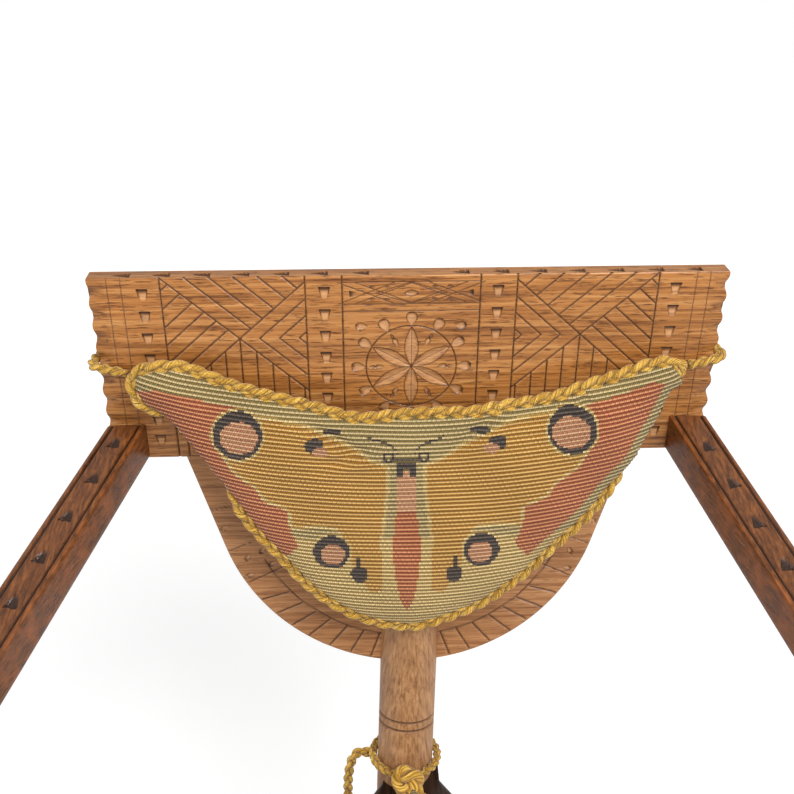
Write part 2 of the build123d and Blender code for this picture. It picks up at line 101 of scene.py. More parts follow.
class Shader:
    """A small helper that adds nodes to one material."""

    def __init__(self, name):
        self.material = bpy.data.materials.new(name)
        self.material.use_nodes = True
        self.tree = self.material.node_tree
        self.surface = self.tree.nodes["Principled BSDF"]

    def add(self, kind, inputs=None, **settings):
        node = self.tree.nodes.new(kind)
        for key, value in settings.items():
            setattr(node, key, value)
        for key, value in (inputs or {}).items():
            self.put(value, node.inputs[key])
        return node

    def put(self, value, socket):
        if isinstance(value, bpy.types.NodeSocket):
            self.tree.links.new(value, socket)
        else:
            socket.default_value = value

    def look(self, inputs):
        """Sets or links some inputs of the surface."""
        for key, value in inputs.items():
            self.put(value, self.surface.inputs[key])

    def place(self, scale):
        """Points of the object, in its own frame, stretched by a scale."""
        where = self.add("ShaderNodeTexCoord").outputs["Object"]
        return self.add("ShaderNodeMapping", {"Vector": where, "Scale": scale}).outputs["Vector"]

    def noise(self, scale, detail=3.0, rough=0.55, distortion=0.0):
        node = self.add("ShaderNodeTexNoise", {
            "Vector": self.place(scale), "Scale": 1.0, "Detail": detail,
            "Roughness": rough, "Distortion": distortion})
        return node.outputs["Fac"]

    def ramp(self, value, stops):
        node = self.add("ShaderNodeValToRGB", {"Fac": value})
        ramp = node.color_ramp
        while len(ramp.elements) < len(stops):
            ramp.elements.new(0.5)
        for element, (place, colour) in zip(ramp.elements, stops):
            element.position = place
            element.color = colour if len(colour) == 4 else (*colour, 1.0)
        return node.outputs["Color"]

    def mask(self, value, low, high):
        """A value spread out, from 0 at low to 1 at high."""
        return self.add("ShaderNodeMapRange", {"Value": value, "From Min": low, "From Max": high}).outputs["Result"]

    def math(self, operation, first, second=0.0):
        return self.add("ShaderNodeMath", {0: first, 1: second}, operation=operation).outputs[0]

    def times(self, first, second):
        return self.math("MULTIPLY", first, second)

    def plus(self, first, second):
        return self.math("ADD", first, second)

    def minus(self, first, second):
        return self.math("SUBTRACT", first, second)

    def mix(self, factor, first, second, blend="MIX"):
        node = self.add("ShaderNodeMix", data_type="RGBA", blend_type=blend)
        self.put(factor, node.inputs[0])
        self.put(first, node.inputs[6])
        self.put(second, node.inputs[7])
        return node.outputs[2]

    def attribute(self, name):
        return self.add("ShaderNodeAttribute", attribute_name=name)

    def bump(self, height, strength, distance):
        node = self.add("ShaderNodeBump", {"Height": height, "Strength": strength, "Distance": distance})
        self.tree.links.new(node.outputs["Normal"], self.surface.inputs["Normal"])


# The back post leans back and a little to the side, in degrees, and rises to the board, in millimetres
POST_RAKE = 14.3
POST_LEAN = 2.0
POST_SET_BACK = 6
POST_RISE = 327
POST_MIDDLE = Matrix.Translation((0, 0, POST_RISE * MM / 2))
POST_FOOT = Vector((MIDDLE_X, FACE_Y + (POST_SET_BACK - POST_RISE * math.tan(math.radians(POST_RAKE))) * MM, SEAT_TOP))
# Its own frame, its z up the post
POST_AXIS = (Matrix.Translation(POST_FOOT) @ Matrix.Rotation(math.radians(-POST_RAKE), 4, "X")
             @ POST_MIDDLE @ Matrix.Rotation(math.radians(POST_LEAN), 4, "Y") @ POST_MIDDLE.inverted())
# Heights up the post of its two turned rings, the scuffed patch over them and the top of its stained foot
POST_RINGS = (66 * MM, 57 * MM)
POST_SCUFF = 102 * MM
POST_STAIN = 60 * MM

# Scales of the wood's figure, in turns per metre, along its grain and across it
BROAD = (2.2, 34.0)
GRAIN = (9.0, 380.0)
PORES = (62.0, 850.0)


def grain_scale(axis, along, across):
    return tuple(along if index == axis else across for index in range(3))


def post_marks(s, colour, dark, deep):
    """Painted shade in two turned grooves round the post, a scuffed patch over them and stains at its foot."""
    up = POST_AXIS.col[2].xyz
    along = s.add("ShaderNodeVectorMath", {0: s.place((1.0, 1.0, 1.0)), 1: tuple(up)},
                  operation="DOT_PRODUCT").outputs["Value"]
    foot = POST_AXIS.translation.dot(up)
    # painted shade in the two turned grooves
    for height in POST_RINGS:
        away = s.math("ABSOLUTE", s.minus(along, foot + height))
        colour = s.mix(s.times(s.mask(away, 0.0018, 0.0007), 0.8), colour, deep)
    near = s.mask(s.math("ABSOLUTE", s.minus(along, foot + POST_SCUFF)), 0.016, 0.003)
    dashes = s.mask(s.noise((330.0, 330.0, 110.0)), 0.50, 0.64)
    colour = s.mix(s.times(s.times(near, dashes), 0.75), colour, dark)
    low = s.mask(s.minus(along, foot), POST_STAIN, 0.0)
    stain = s.mask(s.noise((70.0, 70.0, 26.0), 4.0), 0.42, 0.68)
    return s.mix(s.times(s.plus(s.times(low, 0.5), 0.35), stain), colour, dark)


def wood(name, dark, middle, light, axis, roughness, pore, wear=None, turned=False):
    """Wood with its grain along one axis, with painted shade in its carved cuts and a painted highlight on their
    floors, and worn on its edges.
    """
    s = Shader(name)
    broad = s.noise(grain_scale(axis, *BROAD), 4.0, 0.6, 0.4)
    streak = s.noise(grain_scale(axis, *GRAIN), 5.0, 0.62, 0.15)
    pores = s.noise(grain_scale(axis, *PORES), 3.0, 0.6)
    colour = s.ramp(streak, [(0.26, dark), (0.5, middle), (0.72, light)])
    tint = s.ramp(broad, [(0.3, (0.72, 0.70, 0.66)), (0.55, (1.0, 1.0, 1.0)), (0.75, (1.12, 1.10, 1.05))])
    colour = s.mix(0.75, colour, tint, "MULTIPLY")
    colour = s.mix(s.times(s.mask(pores, 0.55, 0.64), pore), colour, dark)
    # the colour of the painted shade in carved cuts and turned grooves
    deep = tuple(channel * 0.3 for channel in dark[:3]) + (1.0,)
    # painted highlight on the lit floors of carved cuts
    colour = s.mix(s.times(s.attribute("painted_cut_highlight").outputs["Fac"], 0.38), colour, srgb(226, 178, 134))
    # painted shade in the carved cuts, read from the cut attribute
    colour = s.mix(s.times(s.attribute("cut").outputs["Fac"], 0.88), colour, deep)
    if wear is not None:
        edge = s.attribute("edge").outputs["Fac"]
        patchy = s.times(edge, s.mask(s.noise((60.0, 60.0, 60.0)), 0.45, 0.75))
        colour = s.mix(patchy, colour, wear)
    if turned:
        colour = post_marks(s, colour, dark, deep)
    s.look({"Base Color": colour, "Roughness": s.plus(s.mask(streak, -0.9, 2.2), roughness - 0.5),
            "Specular IOR Level": 0.45})
    s.bump(s.minus(s.times(streak, 0.6), s.mask(pores, 0.58, 0.72)), 0.35, 0.0006)
    return s.material


def cord_material():
    """Golden cotton cord: fibres run along each strand, with painted shade where strands meet."""
    s = Shader("gold_cord")
    strand = s.attribute("strand")
    where = s.add("ShaderNodeMapping", {"Vector": strand.outputs["Vector"], "Scale": (1.0, 0.8, 0.8)})
    fibre = s.add("ShaderNodeTexNoise", {"Vector": where.outputs["Vector"], "Scale": 1.0, "Detail": 4.0,
                                         "Roughness": 0.6, "Distortion": 0.5}).outputs["Fac"]
    patch = s.noise((55.0, 55.0, 55.0), 3.0)
    colour = s.ramp(fibre, [(0.36, srgb(120, 82, 16)), (0.49, srgb(200, 150, 44)), (0.62, srgb(240, 202, 104))])
    colour = s.mix(s.times(s.mask(patch, 0.4, 0.75), 0.5), colour, srgb(204, 150, 44))
    tint = s.ramp(fibre, [(0.3, (0.55, 0.5, 0.42)), (0.6, (1.0, 1.0, 1.0))])
    colour = s.mix(0.7, colour, tint, "MULTIPLY")
    # painted shade where the strands meet and pass under each other
    painted_strand_shade = s.attribute("painted_strand_shade").outputs["Fac"]
    colour = s.mix(s.times(painted_strand_shade, 0.85), colour, srgb(80, 48, 8))
    s.look({"Base Color": colour, "Roughness": 0.72, "Sheen Weight": 0.25, "Specular IOR Level": 0.3})
    s.bump(fibre, 0.9, 0.0009)
    return s.material


STITCH_ROW = 3.5
STITCH_STEP = 1.9


def needlepoint_material():
    """Wool stitches in rows: the pattern's colour comes from the mesh, the yarn from bump and from painted light and
    shade.
    """
    s = Shader("needlepoint")
    base = s.attribute("stitch").outputs["Color"]
    flat = s.attribute("weave")
    across = s.add("ShaderNodeSeparateXYZ", {"Vector": flat.outputs["Vector"]})
    slant = s.plus(s.times(across.outputs["X"], 2 * math.pi),
                   s.times(across.outputs["Y"], 2 * math.pi * 0.5))
    stitch = s.plus(s.times(s.math("SINE", slant, 0.0), 0.5), 0.5)
    row = s.math("COSINE", s.times(across.outputs["Y"], 2 * math.pi), 0.0)
    row = s.plus(s.times(row, 0.5), 0.5)
    wool = s.noise((900.0, 900.0, 900.0), 3.0, 0.6)
    # painted light and shade across each slanted stitch, painted shade between the rows, and the wool's own random
    # tone
    shade = s.times(s.plus(s.times(stitch, 0.45), 0.62),
                   s.minus(1.12, s.times(row, 0.62)))
    shade = s.times(shade, s.plus(s.times(wool, 0.9), 0.62))
    grey = s.add("ShaderNodeCombineXYZ", {"X": shade, "Y": shade, "Z": shade}).outputs["Vector"]
    colour = s.mix(1.0, base, grey, "MULTIPLY")
    s.look({"Base Color": colour, "Roughness": 0.85, "Sheen Weight": 0.15, "Specular IOR Level": 0.2})
    height = s.minus(s.times(stitch, 0.6), row)
    s.bump(height, 0.55, 0.0009)
    return s.material


MATERIALS = {
    "board": wood("honey_oak", srgb(100, 54, 20), srgb(178, 116, 57), srgb(206, 150, 90), 0, 0.4, 0.9),
    "panel": wood("panel_oak", srgb(120, 72, 38), srgb(178, 124, 78), srgb(202, 150, 104), 0, 0.46, 0.6),
    "post": wood("post_oak", srgb(120, 76, 42), srgb(180, 132, 88), srgb(202, 156, 110), 2, 0.5, 0.3, turned=True),
    "arm": wood("dark_wood", srgb(60, 32, 14), srgb(108, 62, 28), srgb(146, 88, 42), 1, 0.36, 0.4,
                srgb(164, 92, 42)),
    "seat": wood("dark_seat", srgb(26, 18, 14), srgb(48, 32, 24), srgb(70, 46, 32), 1, 0.34, 0.3),
    "leg": wood("dark_leg", srgb(46, 26, 16), srgb(80, 46, 27), srgb(110, 66, 38), 2, 0.36, 0.4),
    "cord": cord_material(),
    "needlepoint": needlepoint_material(),
}


# Mesh helpers

def new_mesh(name, points, faces, material):
    mesh = bpy.data.meshes.new(name)
    mesh.from_pydata([tuple(p) for p in points], [], faces)
    mesh.materials.append(material)
    mesh.polygons.foreach_set("use_smooth", [True] * len(mesh.polygons))
    obj = new_object(name, mesh)
    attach(obj, "root")
    return obj


def set_values(obj, name, values, kind="FLOAT", domain="POINT"):
    """Numbers, vectors or colours that an object's material reads by name."""
    key = {"FLOAT": "value", "FLOAT_VECTOR": "vector", "FLOAT_COLOR": "color"}[kind]
    layer = obj.data.attributes.new(name, kind, domain)
    layer.data.foreach_set(key, np.asarray(values, dtype=np.float32).ravel())


def unit(values):
    """Values held between 0 and 1."""
    return np.clip(values, 0, 1)


def tube_faces(rows, columns, flip=False):
    """Faces of a grid of points, rows by columns, its rows joined into a ring and both ends closed."""
    faces = []
    for r in range(rows):
        here, below = r * columns, (r + 1) % rows * columns
        faces += [(here + c, here + c + 1, below + c + 1, below + c) for c in range(columns - 1)]
    faces.append(tuple(r * columns for r in range(rows)))
    faces.append(tuple(r * columns + columns - 1 for r in reversed(range(rows))))
    return [face[::-1] for face in faces] if flip else faces


# Carving: each cut gives its depth in millimetres and how much painted shade it gets, at points of a flat face

def groove(x, y, start, end, width, depth):
    """A V groove along a straight line, with painted shade at its bottom."""
    ax, ay = start
    dx, dy = end[0] - ax, end[1] - ay
    share = unit(((x - ax) * dx + (y - ay) * dy) / (dx * dx + dy * dy))
    away = np.hypot(x - ax - share * dx, y - ay - share * dy)
    return depth * unit(1 - away / (width / 2)), unit(1.6 - away / (width * 0.21))


# A round groove, with painted shade at its bottom
def ring_groove(x, y, centre, radius, width, depth):
    away = np.abs(np.hypot(x - centre[0], y - centre[1]) - radius)
    return depth * unit(1 - away / (width / 2)), unit(1.6 - away / (width * 0.3))


def turned_to(x, y, centre, angle):
    """Coordinates along and across a direction, from a centre."""
    c, s = math.cos(math.radians(angle)), math.sin(math.radians(angle))
    dx, dy = x - centre[0], y - centre[1]
    return dx * c + dy * s, -dx * s + dy * c


def notch(x, y, centre, angle, length, wide, narrow, depth):
    """A tapered gouge: steep at its wide end, rising to its narrow one, with painted shade round its rim and on its
    steep end.
    """
    along, across = turned_to(x, y, centre, angle)
    share = along / length + 0.5
    half = (wide + (narrow - wide) * unit(share)) / 2
    inside_it = unit((half - np.abs(across)) / 0.7) * unit(share * length / 0.8)
    held = (np.abs(across) < half) & (share > 0) & (share < 1)
    rim = unit(1.5 - np.abs(half - np.abs(across)) / 0.85) * unit(1.3 - share)
    steep = unit(1.5 - share * length / 3.4)
    return depth * inside_it * unit(1 - share) ** 0.7, held * np.maximum(rim, steep)


def thumb(x, y, centre, angle, length, width, depth):
    """A thumbnail gouge: deep and round at its far end, running out to a point, with painted shade round its rim and
    in its deep end.
    """
    along, across = turned_to(x, y, centre, angle)
    share = unit(along / length + 0.5)
    half = width / 2 * np.sqrt(unit(np.sin(math.pi * share ** 0.75)))
    inside_it = unit(1 - (np.abs(across) / np.maximum(half, 1e-3)) ** 2)
    held = np.abs(across) < half
    rim = held * unit(1.6 - (half - np.abs(across)) / 0.8) * unit(1.4 - share)
    return depth * inside_it * (1 - 0.65 * share), np.maximum(rim, held * unit(0.9 - 3.0 * share))


def petal(x, y, centre, angle, length, width, depth):
    """A pointed leaf, outlined in painted shade, with a straight keel of painted shade along its middle."""
    along, across = turned_to(x, y, centre, angle)
    share = unit(along / length)
    half = width / 2 * np.sin(math.pi * share) ** 0.85
    held = (half > 0.05) & (np.abs(across) < half + 0.45)
    rim = unit(1.3 - np.abs(half - np.abs(across)) / 0.55)
    keel = 0.75 * unit(1.2 - np.abs(across) / 0.35)
    dish = depth * unit(1 - np.abs(across) / np.maximum(half, 1e-3)) ** 0.8
    return dish * (half > 0.05), held * np.maximum(rim, keel)


def deepest(cuts):
    """The deepest of some cuts at each point, and the darkest painted shade among them."""
    return np.maximum.reduce([cut[0] for cut in cuts]), np.maximum.reduce([cut[1] for cut in cuts])


class Cuts(list):
    """Cuts in a flat face, each as its depth and its painted shade at some points."""

    def __init__(self, x, y):
        super().__init__()
        self.x, self.y = x, y

    def add(self, cut, *sizes):
        self.append(cut(self.x, self.y, *sizes))

    def both(self, cut, *sizes):
        """A cut on the right and its mirror image on the left."""
        self.add(cut, *sizes)
        sizes = [(-size[0], size[1]) if isinstance(size, tuple) else size for size in sizes]
        if cut is not groove:
            sizes[1] = 180 - sizes[1]
        self.add(cut, *sizes)


# The crest board's carving, x from its middle and y down from its top edge
BOARD_FOOT = 176.0
BOARD_LINES = (242.0, 253.5)
COLUMN_LINES = (58.5, 89.5, 210.0)
CHIP_COLUMNS = (73.5, 225.0)
CHIP_FIRST = 15.0
CHIP_PITCH = 20.3
CHIP_COUNT = 8
CHECK_CENTRE = (147.0, 57.0)
CHECK_SLOPE = 52.0 / 57.5
CHECK_REACH = 200.0
BAND_LINES = (6.0, 25.8, 32.5)
ROSETTE = (0.5, 86.0)
ROSETTE_RADIUS = 39.5


def clip_line(start, end, box):
    """The part of a line inside a box, or nothing."""
    (x0, y0), (x1, y1) = start, end
    low, high = 0.0, 1.0
    for delta, near, far, origin in ((x1 - x0, box[0], box[1], x0), (y1 - y0, box[2], box[3], y0)):
        if abs(delta) < 1e-9:
            if not near <= origin <= far:
                return None
            continue
        a, b = sorted(((near - origin) / delta, (far - origin) / delta))
        low, high = max(low, a), min(high, b)
    if low >= high:
        return None
    return ((x0 + (x1 - x0) * low, y0 + (y1 - y0) * low), (x0 + (x1 - x0) * high, y0 + (y1 - y0) * high))


def check_panel(cuts):
    """On each side, a field of slanting lines in four quarters about a crossing."""
    cx, cy = CHECK_CENTRE
    run, drop = CHECK_REACH, CHECK_REACH * CHECK_SLOPE
    lines = [((cx - run, cy + drop), (cx + run, cy - drop)), ((cx - run, cy - drop), (cx + run, cy + drop))]
    # top quarter: lines parallel to the outer diagonal, stopped at the inner one
    for step in range(1, 6):
        x0, y0 = cx - step * 10.2, cy - step * 10.2 * CHECK_SLOPE
        lines.append(((x0, y0), (x0 + run, y0 - drop)))
    # outer quarter: lines parallel to the other diagonal
    for step in range(1, 7):
        x0, y0 = cx + step * 9.4, cy - step * 9.4 * CHECK_SLOPE
        lines.append(((x0, y0), (x0 + run, y0 + drop)))
    # inner quarter: nested arrow heads
    for step in range(1, 4):
        tip = cx - step * 17.0
        lines += [((tip, cy), (tip - run, cy - drop)), ((tip, cy), (tip - run, cy + drop))]
    # bottom quarter: upright lines
    for step in range(-4, 5):
        x0 = cx + step * 13.4
        lines.append(((x0, cy + abs(step) * 13.4 * CHECK_SLOPE), (x0, BOARD_FOOT)))
    for start, end in lines:
        part = clip_line(start, end, (*COLUMN_LINES[1:], 0.0, BOARD_FOOT))
        if part is not None:
            cuts.both(groove, *part, 2.7, 1.15)


def off_rosette(distance, angle):
    turn = math.radians(angle)
    return (ROSETTE[0] + distance * math.cos(turn), ROSETTE[1] + distance * math.sin(turn))


def carve_board(x, y):
    """The crest board's carving at some points: its depth in millimetres and how much painted shade it gets."""
    cuts = Cuts(x, y)
    for places, width, depth in ((BOARD_LINES, 1.4, 0.45), (COLUMN_LINES, 2.6, 1.2)):
        for place in places:
            cuts.both(groove, (place, 0), (place, BOARD_FOOT), width, depth)
    for column in CHIP_COLUMNS:
        for index in range(CHIP_COUNT):
            cuts.both(notch, (column, CHIP_FIRST + index * CHIP_PITCH), 90, 10.5, 10.0, 5.6, 2.6)
    check_panel(cuts)
    inner = COLUMN_LINES[0]
    for place in BAND_LINES:
        cuts.add(groove, (-inner, place), (inner, place), 1.7, 0.8)
    # the band of crossing lines over the rosette
    top, bottom = BAND_LINES[:2]
    middle = (top + bottom) / 2
    for start, end in (((-2, top), (48, bottom)), ((-2, bottom), (48, top)), ((14, top), (62, bottom)),
                       ((14, bottom), (62, top)), ((0, top), (30, middle)), ((0, bottom), (30, middle))):
        cuts.both(groove, start, end, 1.6, 0.7)
    cuts.both(notch, (49.5, 16.3), 180, 6, 6, 2, 1.8)
    for place in (-33, -20, 20, 33):
        for tall in (10, 21.6):
            cuts.add(thumb, (place, tall), 0, 5, 2.2, 0.9)
    cuts.add(petal, (-6, 16), 0, 12, 5.5, 1.4)
    # the rosette, its petals and the small gouges round it
    cuts.add(ring_groove, ROSETTE, ROSETTE_RADIUS, 1.7, 1.0)
    for angle in range(30, 390, 60):
        cuts.add(petal, ROSETTE, angle, ROSETTE_RADIUS - 1.0, 12.0, 1.5)
        cuts.add(thumb, off_rosette(27.5, angle + 30), angle + 210, 7.5, 5.0, 1.6)
        cuts.add(thumb, off_rosette(34.0, angle + 30), angle + 30, 5.5, 2.8, 1.6)
    for angle in range(0, 360, 30):
        spot = off_rosette(46.5, angle)
        if abs(spot[0]) < inner - 1:
            cuts.add(thumb, spot, angle + 180, 12.0, 10.0, 2.4)
    cuts.both(thumb, (42.8, 47.0), 180, 10, 8, 2.3)
    return deepest(cuts)


FLUTE_FIRST = 12.5
FLUTE_PITCH = 20.6
# How far the flutes bite into the left end and the right one, and into the face beside them
FLUTE_BITES = (1.7, 2.3)
FLUTE_DEPTH = 2.6
TOP_CHIPS = (-242, -209, -175.6, -143, -110, -77.5, -43.3, 41.5, 75.3, 107.5, 140.2, 173.1, 207.3, 240)
BOARD_COLUMNS = 841
BOARD_ROWS = 271


def flute_at(y, depth):
    """How far a flute at the board's end bites in at one height."""
    return depth * np.cos(math.pi * (y - FLUTE_FIRST) / FLUTE_PITCH) ** 2


def make_board():
    """The crest board as one closed grid: face, underside, back and top, round in a loop."""
    half, height, thick = BOARD_HALF / MM, (BOARD_TOP - BOARD_BOTTOM) / MM, BOARD_THICK / MM
    loop = [(0.0, v, 0) for v in np.linspace(0, height, BOARD_ROWS)]
    loop += [(u, height, 1) for u in np.linspace(0, thick, 5)[1:]]
    loop += [(thick, v, 2) for v in np.linspace(height, 0, 9)[1:]]
    loop += [(u, 0.0, 3) for u in np.linspace(thick, 0, 20)[1:-1]]
    loop = np.array(loop)
    t = np.linspace(-1, 1, BOARD_COLUMNS)
    depth_in, v, kind = (loop[:, i][:, None] for i in range(3))
    bite = flute_at(v, np.where(t < 0, *FLUTE_BITES)[None, :])
    x = t[None, :] * (half - bite)
    v = v + 0 * x
    depth_in = depth_in + 0 * x
    depth, painted_shade = carve_board(x, v)
    cut = np.where(kind == 0, depth, 0.0)
    flute = flute_at(v, FLUTE_DEPTH) ** 2 / FLUTE_DEPTH * unit(1.1 - (half - np.abs(x)) / 13.0)
    wave = 0.35 * np.sin(x / 37.0) * np.sin(v / 29.0)
    top_chip = np.maximum.reduce([notch(x, depth_in, (place, 7.0), 180, 15, 9.5, 1.0, 1.8)[0] for place in TOP_CHIPS])
    top_cut = np.where(kind == 3, top_chip, 0.0)
    # painted shade over the whole top face, darker in its chips
    top_painted_shade = np.maximum(unit(top_chip / 0.35), 0.2)
    # painted shade on the board's fluted ends, heavier on the left end, away from the light
    painted_shade = np.maximum(painted_shade, np.where(x < 0, 0.30, 0.16) * unit(0.25 + flute) * (np.abs(x) > half - 14))
    painted_shade = np.where(kind == 0, painted_shade, np.where(kind == 3, top_painted_shade, 0.0))
    # soft worn arris along the face's long edges
    near = np.minimum(v, height - v)
    round_off = np.where(kind == 0, 0.9 * unit(1 - near / 1.8) ** 2, 0.0)
    into = np.where(kind == 0, cut + flute + round_off + 0.15 * wave, 0.0)
    points = np.stack([MIDDLE_X + x * MM, FACE_Y + (depth_in + into) * MM, BOARD_TOP - (v + top_cut) * MM], axis=-1)
    faces = tube_faces(loop.shape[0], BOARD_COLUMNS)
    board = new_mesh("carved_crest_board", points.reshape(-1, 3), faces, MATERIALS["board"])
    # the cut attribute holds the painted shade of the carving, the ends and the top face
    set_values(board, "cut", painted_shade)
    # painted highlight on the floors of the cuts, where they have little painted shade
    set_values(board, "painted_cut_highlight", unit(cut / 1.3) * unit(1 - 1.6 * painted_shade))
    board.data.set_sharp_from_angle(angle=math.radians(50))
    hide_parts("crest_board")


def frame_of(place, turns):
    """A frame at a point, turned about its own axes in order."""
    matrix = Matrix.Translation(place)
    for angle, axis in turns:
        matrix = matrix @ Matrix.Rotation(math.radians(angle), 4, axis)
    return matrix


def to_world(matrix, points):
    """Points in millimetres in a frame, as metres in the model."""
    turn = np.array(matrix)
    return np.asarray(points) * MM @ turn[:3, :3].T + turn[:3, 3]


# Arms: their places, lengths and slants are those of the part's source
ARM_ROOT = 254.0
ARM_ROOT_UP = 18.0
ARM_SPLAY = {-1: 14.5, 1: 11.5}
ARM_SLOPE = {-1: 9.5, 1: 12.5}
ARM_HALF = 17.0
ARM_RUN = 486.0
ARM_NOSE = 10.0
ARM_CHAMFER = 2.2
ARM_GROOVE = 11.6
ARM_CHIP_PITCH = 45.0
ARM_CHIP_FIRST = {-1: 21.0, 1: 36.0}
ARM_STEP = 1.25


def arm_loop():
    """Points round an arm's section from its upper left arris, each with its side's number."""
    flat, slope = ARM_HALF - ARM_CHAMFER, ARM_CHAMFER * 0.3
    loop = [(x, ARM_HALF, 0) for x in np.linspace(-flat, flat, 37)]
    loop += [(ARM_HALF - slope, ARM_HALF - slope, 1)]
    loop += [(ARM_HALF, z, 2) for z in np.linspace(flat, -flat, 9)]
    loop += [(ARM_HALF - slope, slope - ARM_HALF, 1)]
    loop += [(x, -ARM_HALF, 3) for x in np.linspace(flat, -flat, 5)]
    loop += [(slope - ARM_HALF, slope - ARM_HALF, 1)]
    loop += [(-ARM_HALF, z, 4) for z in np.linspace(-flat, flat, 9)]
    loop += [(slope - ARM_HALF, ARM_HALF - slope, 1)]
    return np.array(loop)


def make_arm(side, name):
    """An arm with gouged chips between two edge grooves, painted shade in both, worn on its edges."""
    splay, slope = math.radians(ARM_SPLAY[side]), math.radians(ARM_SLOPE[side])
    place = Vector((MIDDLE_X + side * ARM_ROOT * MM, FACE_Y, BOARD_BOTTOM + ARM_ROOT_UP * MM))
    matrix = frame_of(place, ((side * ARM_SPLAY[side], "Z"), (ARM_SLOPE[side], "X")))
    loop = arm_loop()
    count = int(ARM_RUN / ARM_STEP) + 1
    share = np.linspace(0, 1, count)[None, :]
    x, z, kind = (loop[:, i][:, None] for i in range(3))
    rear = (z * math.sin(slope) - x * math.sin(side * splay) / math.cos(splay)) / math.cos(slope)
    y = rear + share * (-ARM_RUN - rear)
    left = y + ARM_RUN
    nose = np.where(left < ARM_NOSE, ARM_NOSE - np.sqrt(np.clip(ARM_NOSE ** 2 - (ARM_NOSE - left) ** 2, 0, None)), 0)
    x = x + 0 * y
    z = z * (1 - nose / ARM_HALF)
    top = kind + 0 * y == 0
    cuts = []
    for edge in (-1, 1):
        near = np.abs(x - edge * ARM_GROOVE)
        cuts.append((1.7 * unit(1 - near / 1.5), unit(1.7 - near / 0.8)))
    for index in range(11):
        centre = (0.6 * math.sin(index * 2.1), -ARM_CHIP_FIRST[side] - index * ARM_CHIP_PITCH)
        depth = notch(x, y, centre, 90 + 6 * math.sin(index * 1.7), 13.0, 12.0, 4.0, 3.6)[0]
        cuts.append((depth, unit(depth / 1.4)))
    # painted shade in the grooves and chips, kept on the top face
    cut, painted_shade = (np.where(top, values, 0.0) for values in deepest(cuts))
    hollow = 0.25 * np.sin(y / 23.0 + 2.0 * kind) + 0.2 * np.sin(y / 61.0 + side)
    z = z - cut - np.where(top, 0.3 * hollow, 0.0)
    x = x - np.sign(x) * np.where((kind == 2) | (kind == 4), 0.25 + 0.25 * np.abs(hollow), 0.0)
    inner = kind == (4 if side > 0 else 2)
    rim = (kind == 1) + 0.55 * (np.abs(np.abs(x) - ARM_HALF) < 2.6) * (kind == 0) + 0.6 * inner + 0 * y
    points = to_world(matrix, np.stack([x, y, z], axis=-1).reshape(-1, 3))
    arm = new_mesh("carved_" + name, points, tube_faces(*y.shape, flip=True), MATERIALS["arm"])
    set_values(arm, "cut", painted_shade)
    set_values(arm, "edge", unit(rim))
    arm.data.set_sharp_from_angle(angle=math.radians(45))
    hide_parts(name)


# Back panel, in its own leaning plane, down from the board's underside
PANEL_FRAME = frame_of(Vector((MIDDLE_X, FACE_Y + POST_SET_BACK * MM, BOARD_BOTTOM)), ((-POST_RAKE, "X"),))
PANEL_HALF = 205.0
PANEL_HEIGHT = 216.0
PANEL_SLOPE = math.radians(19.0)
PANEL_LEAD = 4.0
PANEL_THICK = 14.0
PANEL_CENTRE = (PANEL_HALF * math.cos(PANEL_SLOPE) - PANEL_HEIGHT) / (1 - math.sin(PANEL_SLOPE))
PANEL_RADIUS = PANEL_HEIGHT + PANEL_CENTRE
PANEL_AIM = 108.0
BAND_INSET = 28.0


def panel_outline(count):
    """Points round the half-round panel, x and y down, starting at its upper right corner."""
    meet = (PANEL_RADIUS * math.cos(PANEL_SLOPE), PANEL_RADIUS * math.sin(PANEL_SLOPE) - PANEL_CENTRE)
    runs = [np.linspace((PANEL_HALF, 0), meet, 60)[:-1]]
    sweep = np.linspace(PANEL_SLOPE, math.pi - PANEL_SLOPE, count)
    runs.append(np.stack([PANEL_RADIUS * np.cos(sweep), PANEL_RADIUS * np.sin(sweep) - PANEL_CENTRE], axis=-1))
    runs.append(np.linspace((-meet[0], meet[1]), (-PANEL_HALF, 0), 60)[1:])
    runs.append(np.linspace((-PANEL_HALF, 0), (PANEL_HALF, 0), 24)[1:-1])
    return np.concatenate(runs)


def carve_panel(x, y):
    """The panel's carving at some points: its depth in millimetres and how much painted shade it gets."""
    cuts = Cuts(x, y)
    for place in (39, 59, 79, 99, 115, 129.5, 143):
        drop = math.sqrt(PANEL_RADIUS ** 2 - place ** 2) - PANEL_CENTRE
        reach = math.hypot(place, drop - PANEL_AIM)
        share = (reach - BAND_INSET) / reach
        cuts.both(groove, (place * share, PANEL_AIM + (drop - PANEL_AIM) * share), (place, drop), 3.4, 1.4)
    for start, end, width, depth in (((117, 112), (154, 129), 2.2, 1.2), ((168, 51), (184, 55), 1.9, 0.9),
                                     ((150, 88), (176, 98), 1.9, 0.9)):
        cuts.both(groove, start, end, width, depth)
    for spot, angle in (((130, 110), 200), ((153, 103), 250), ((174, 73), 215), ((151, 121), 190), ((139, 96), 240)):
        cuts.both(thumb, spot, angle, 8.0, 5.0, 2.2)
    away = np.hypot(x, y + PANEL_CENTRE)
    inner = unit(1 - np.abs(away - (PANEL_RADIUS - BAND_INSET)) / 0.95) * (y > 105)
    cuts.append((0.9 * inner, unit(1.5 * inner)))
    return deepest(cuts)


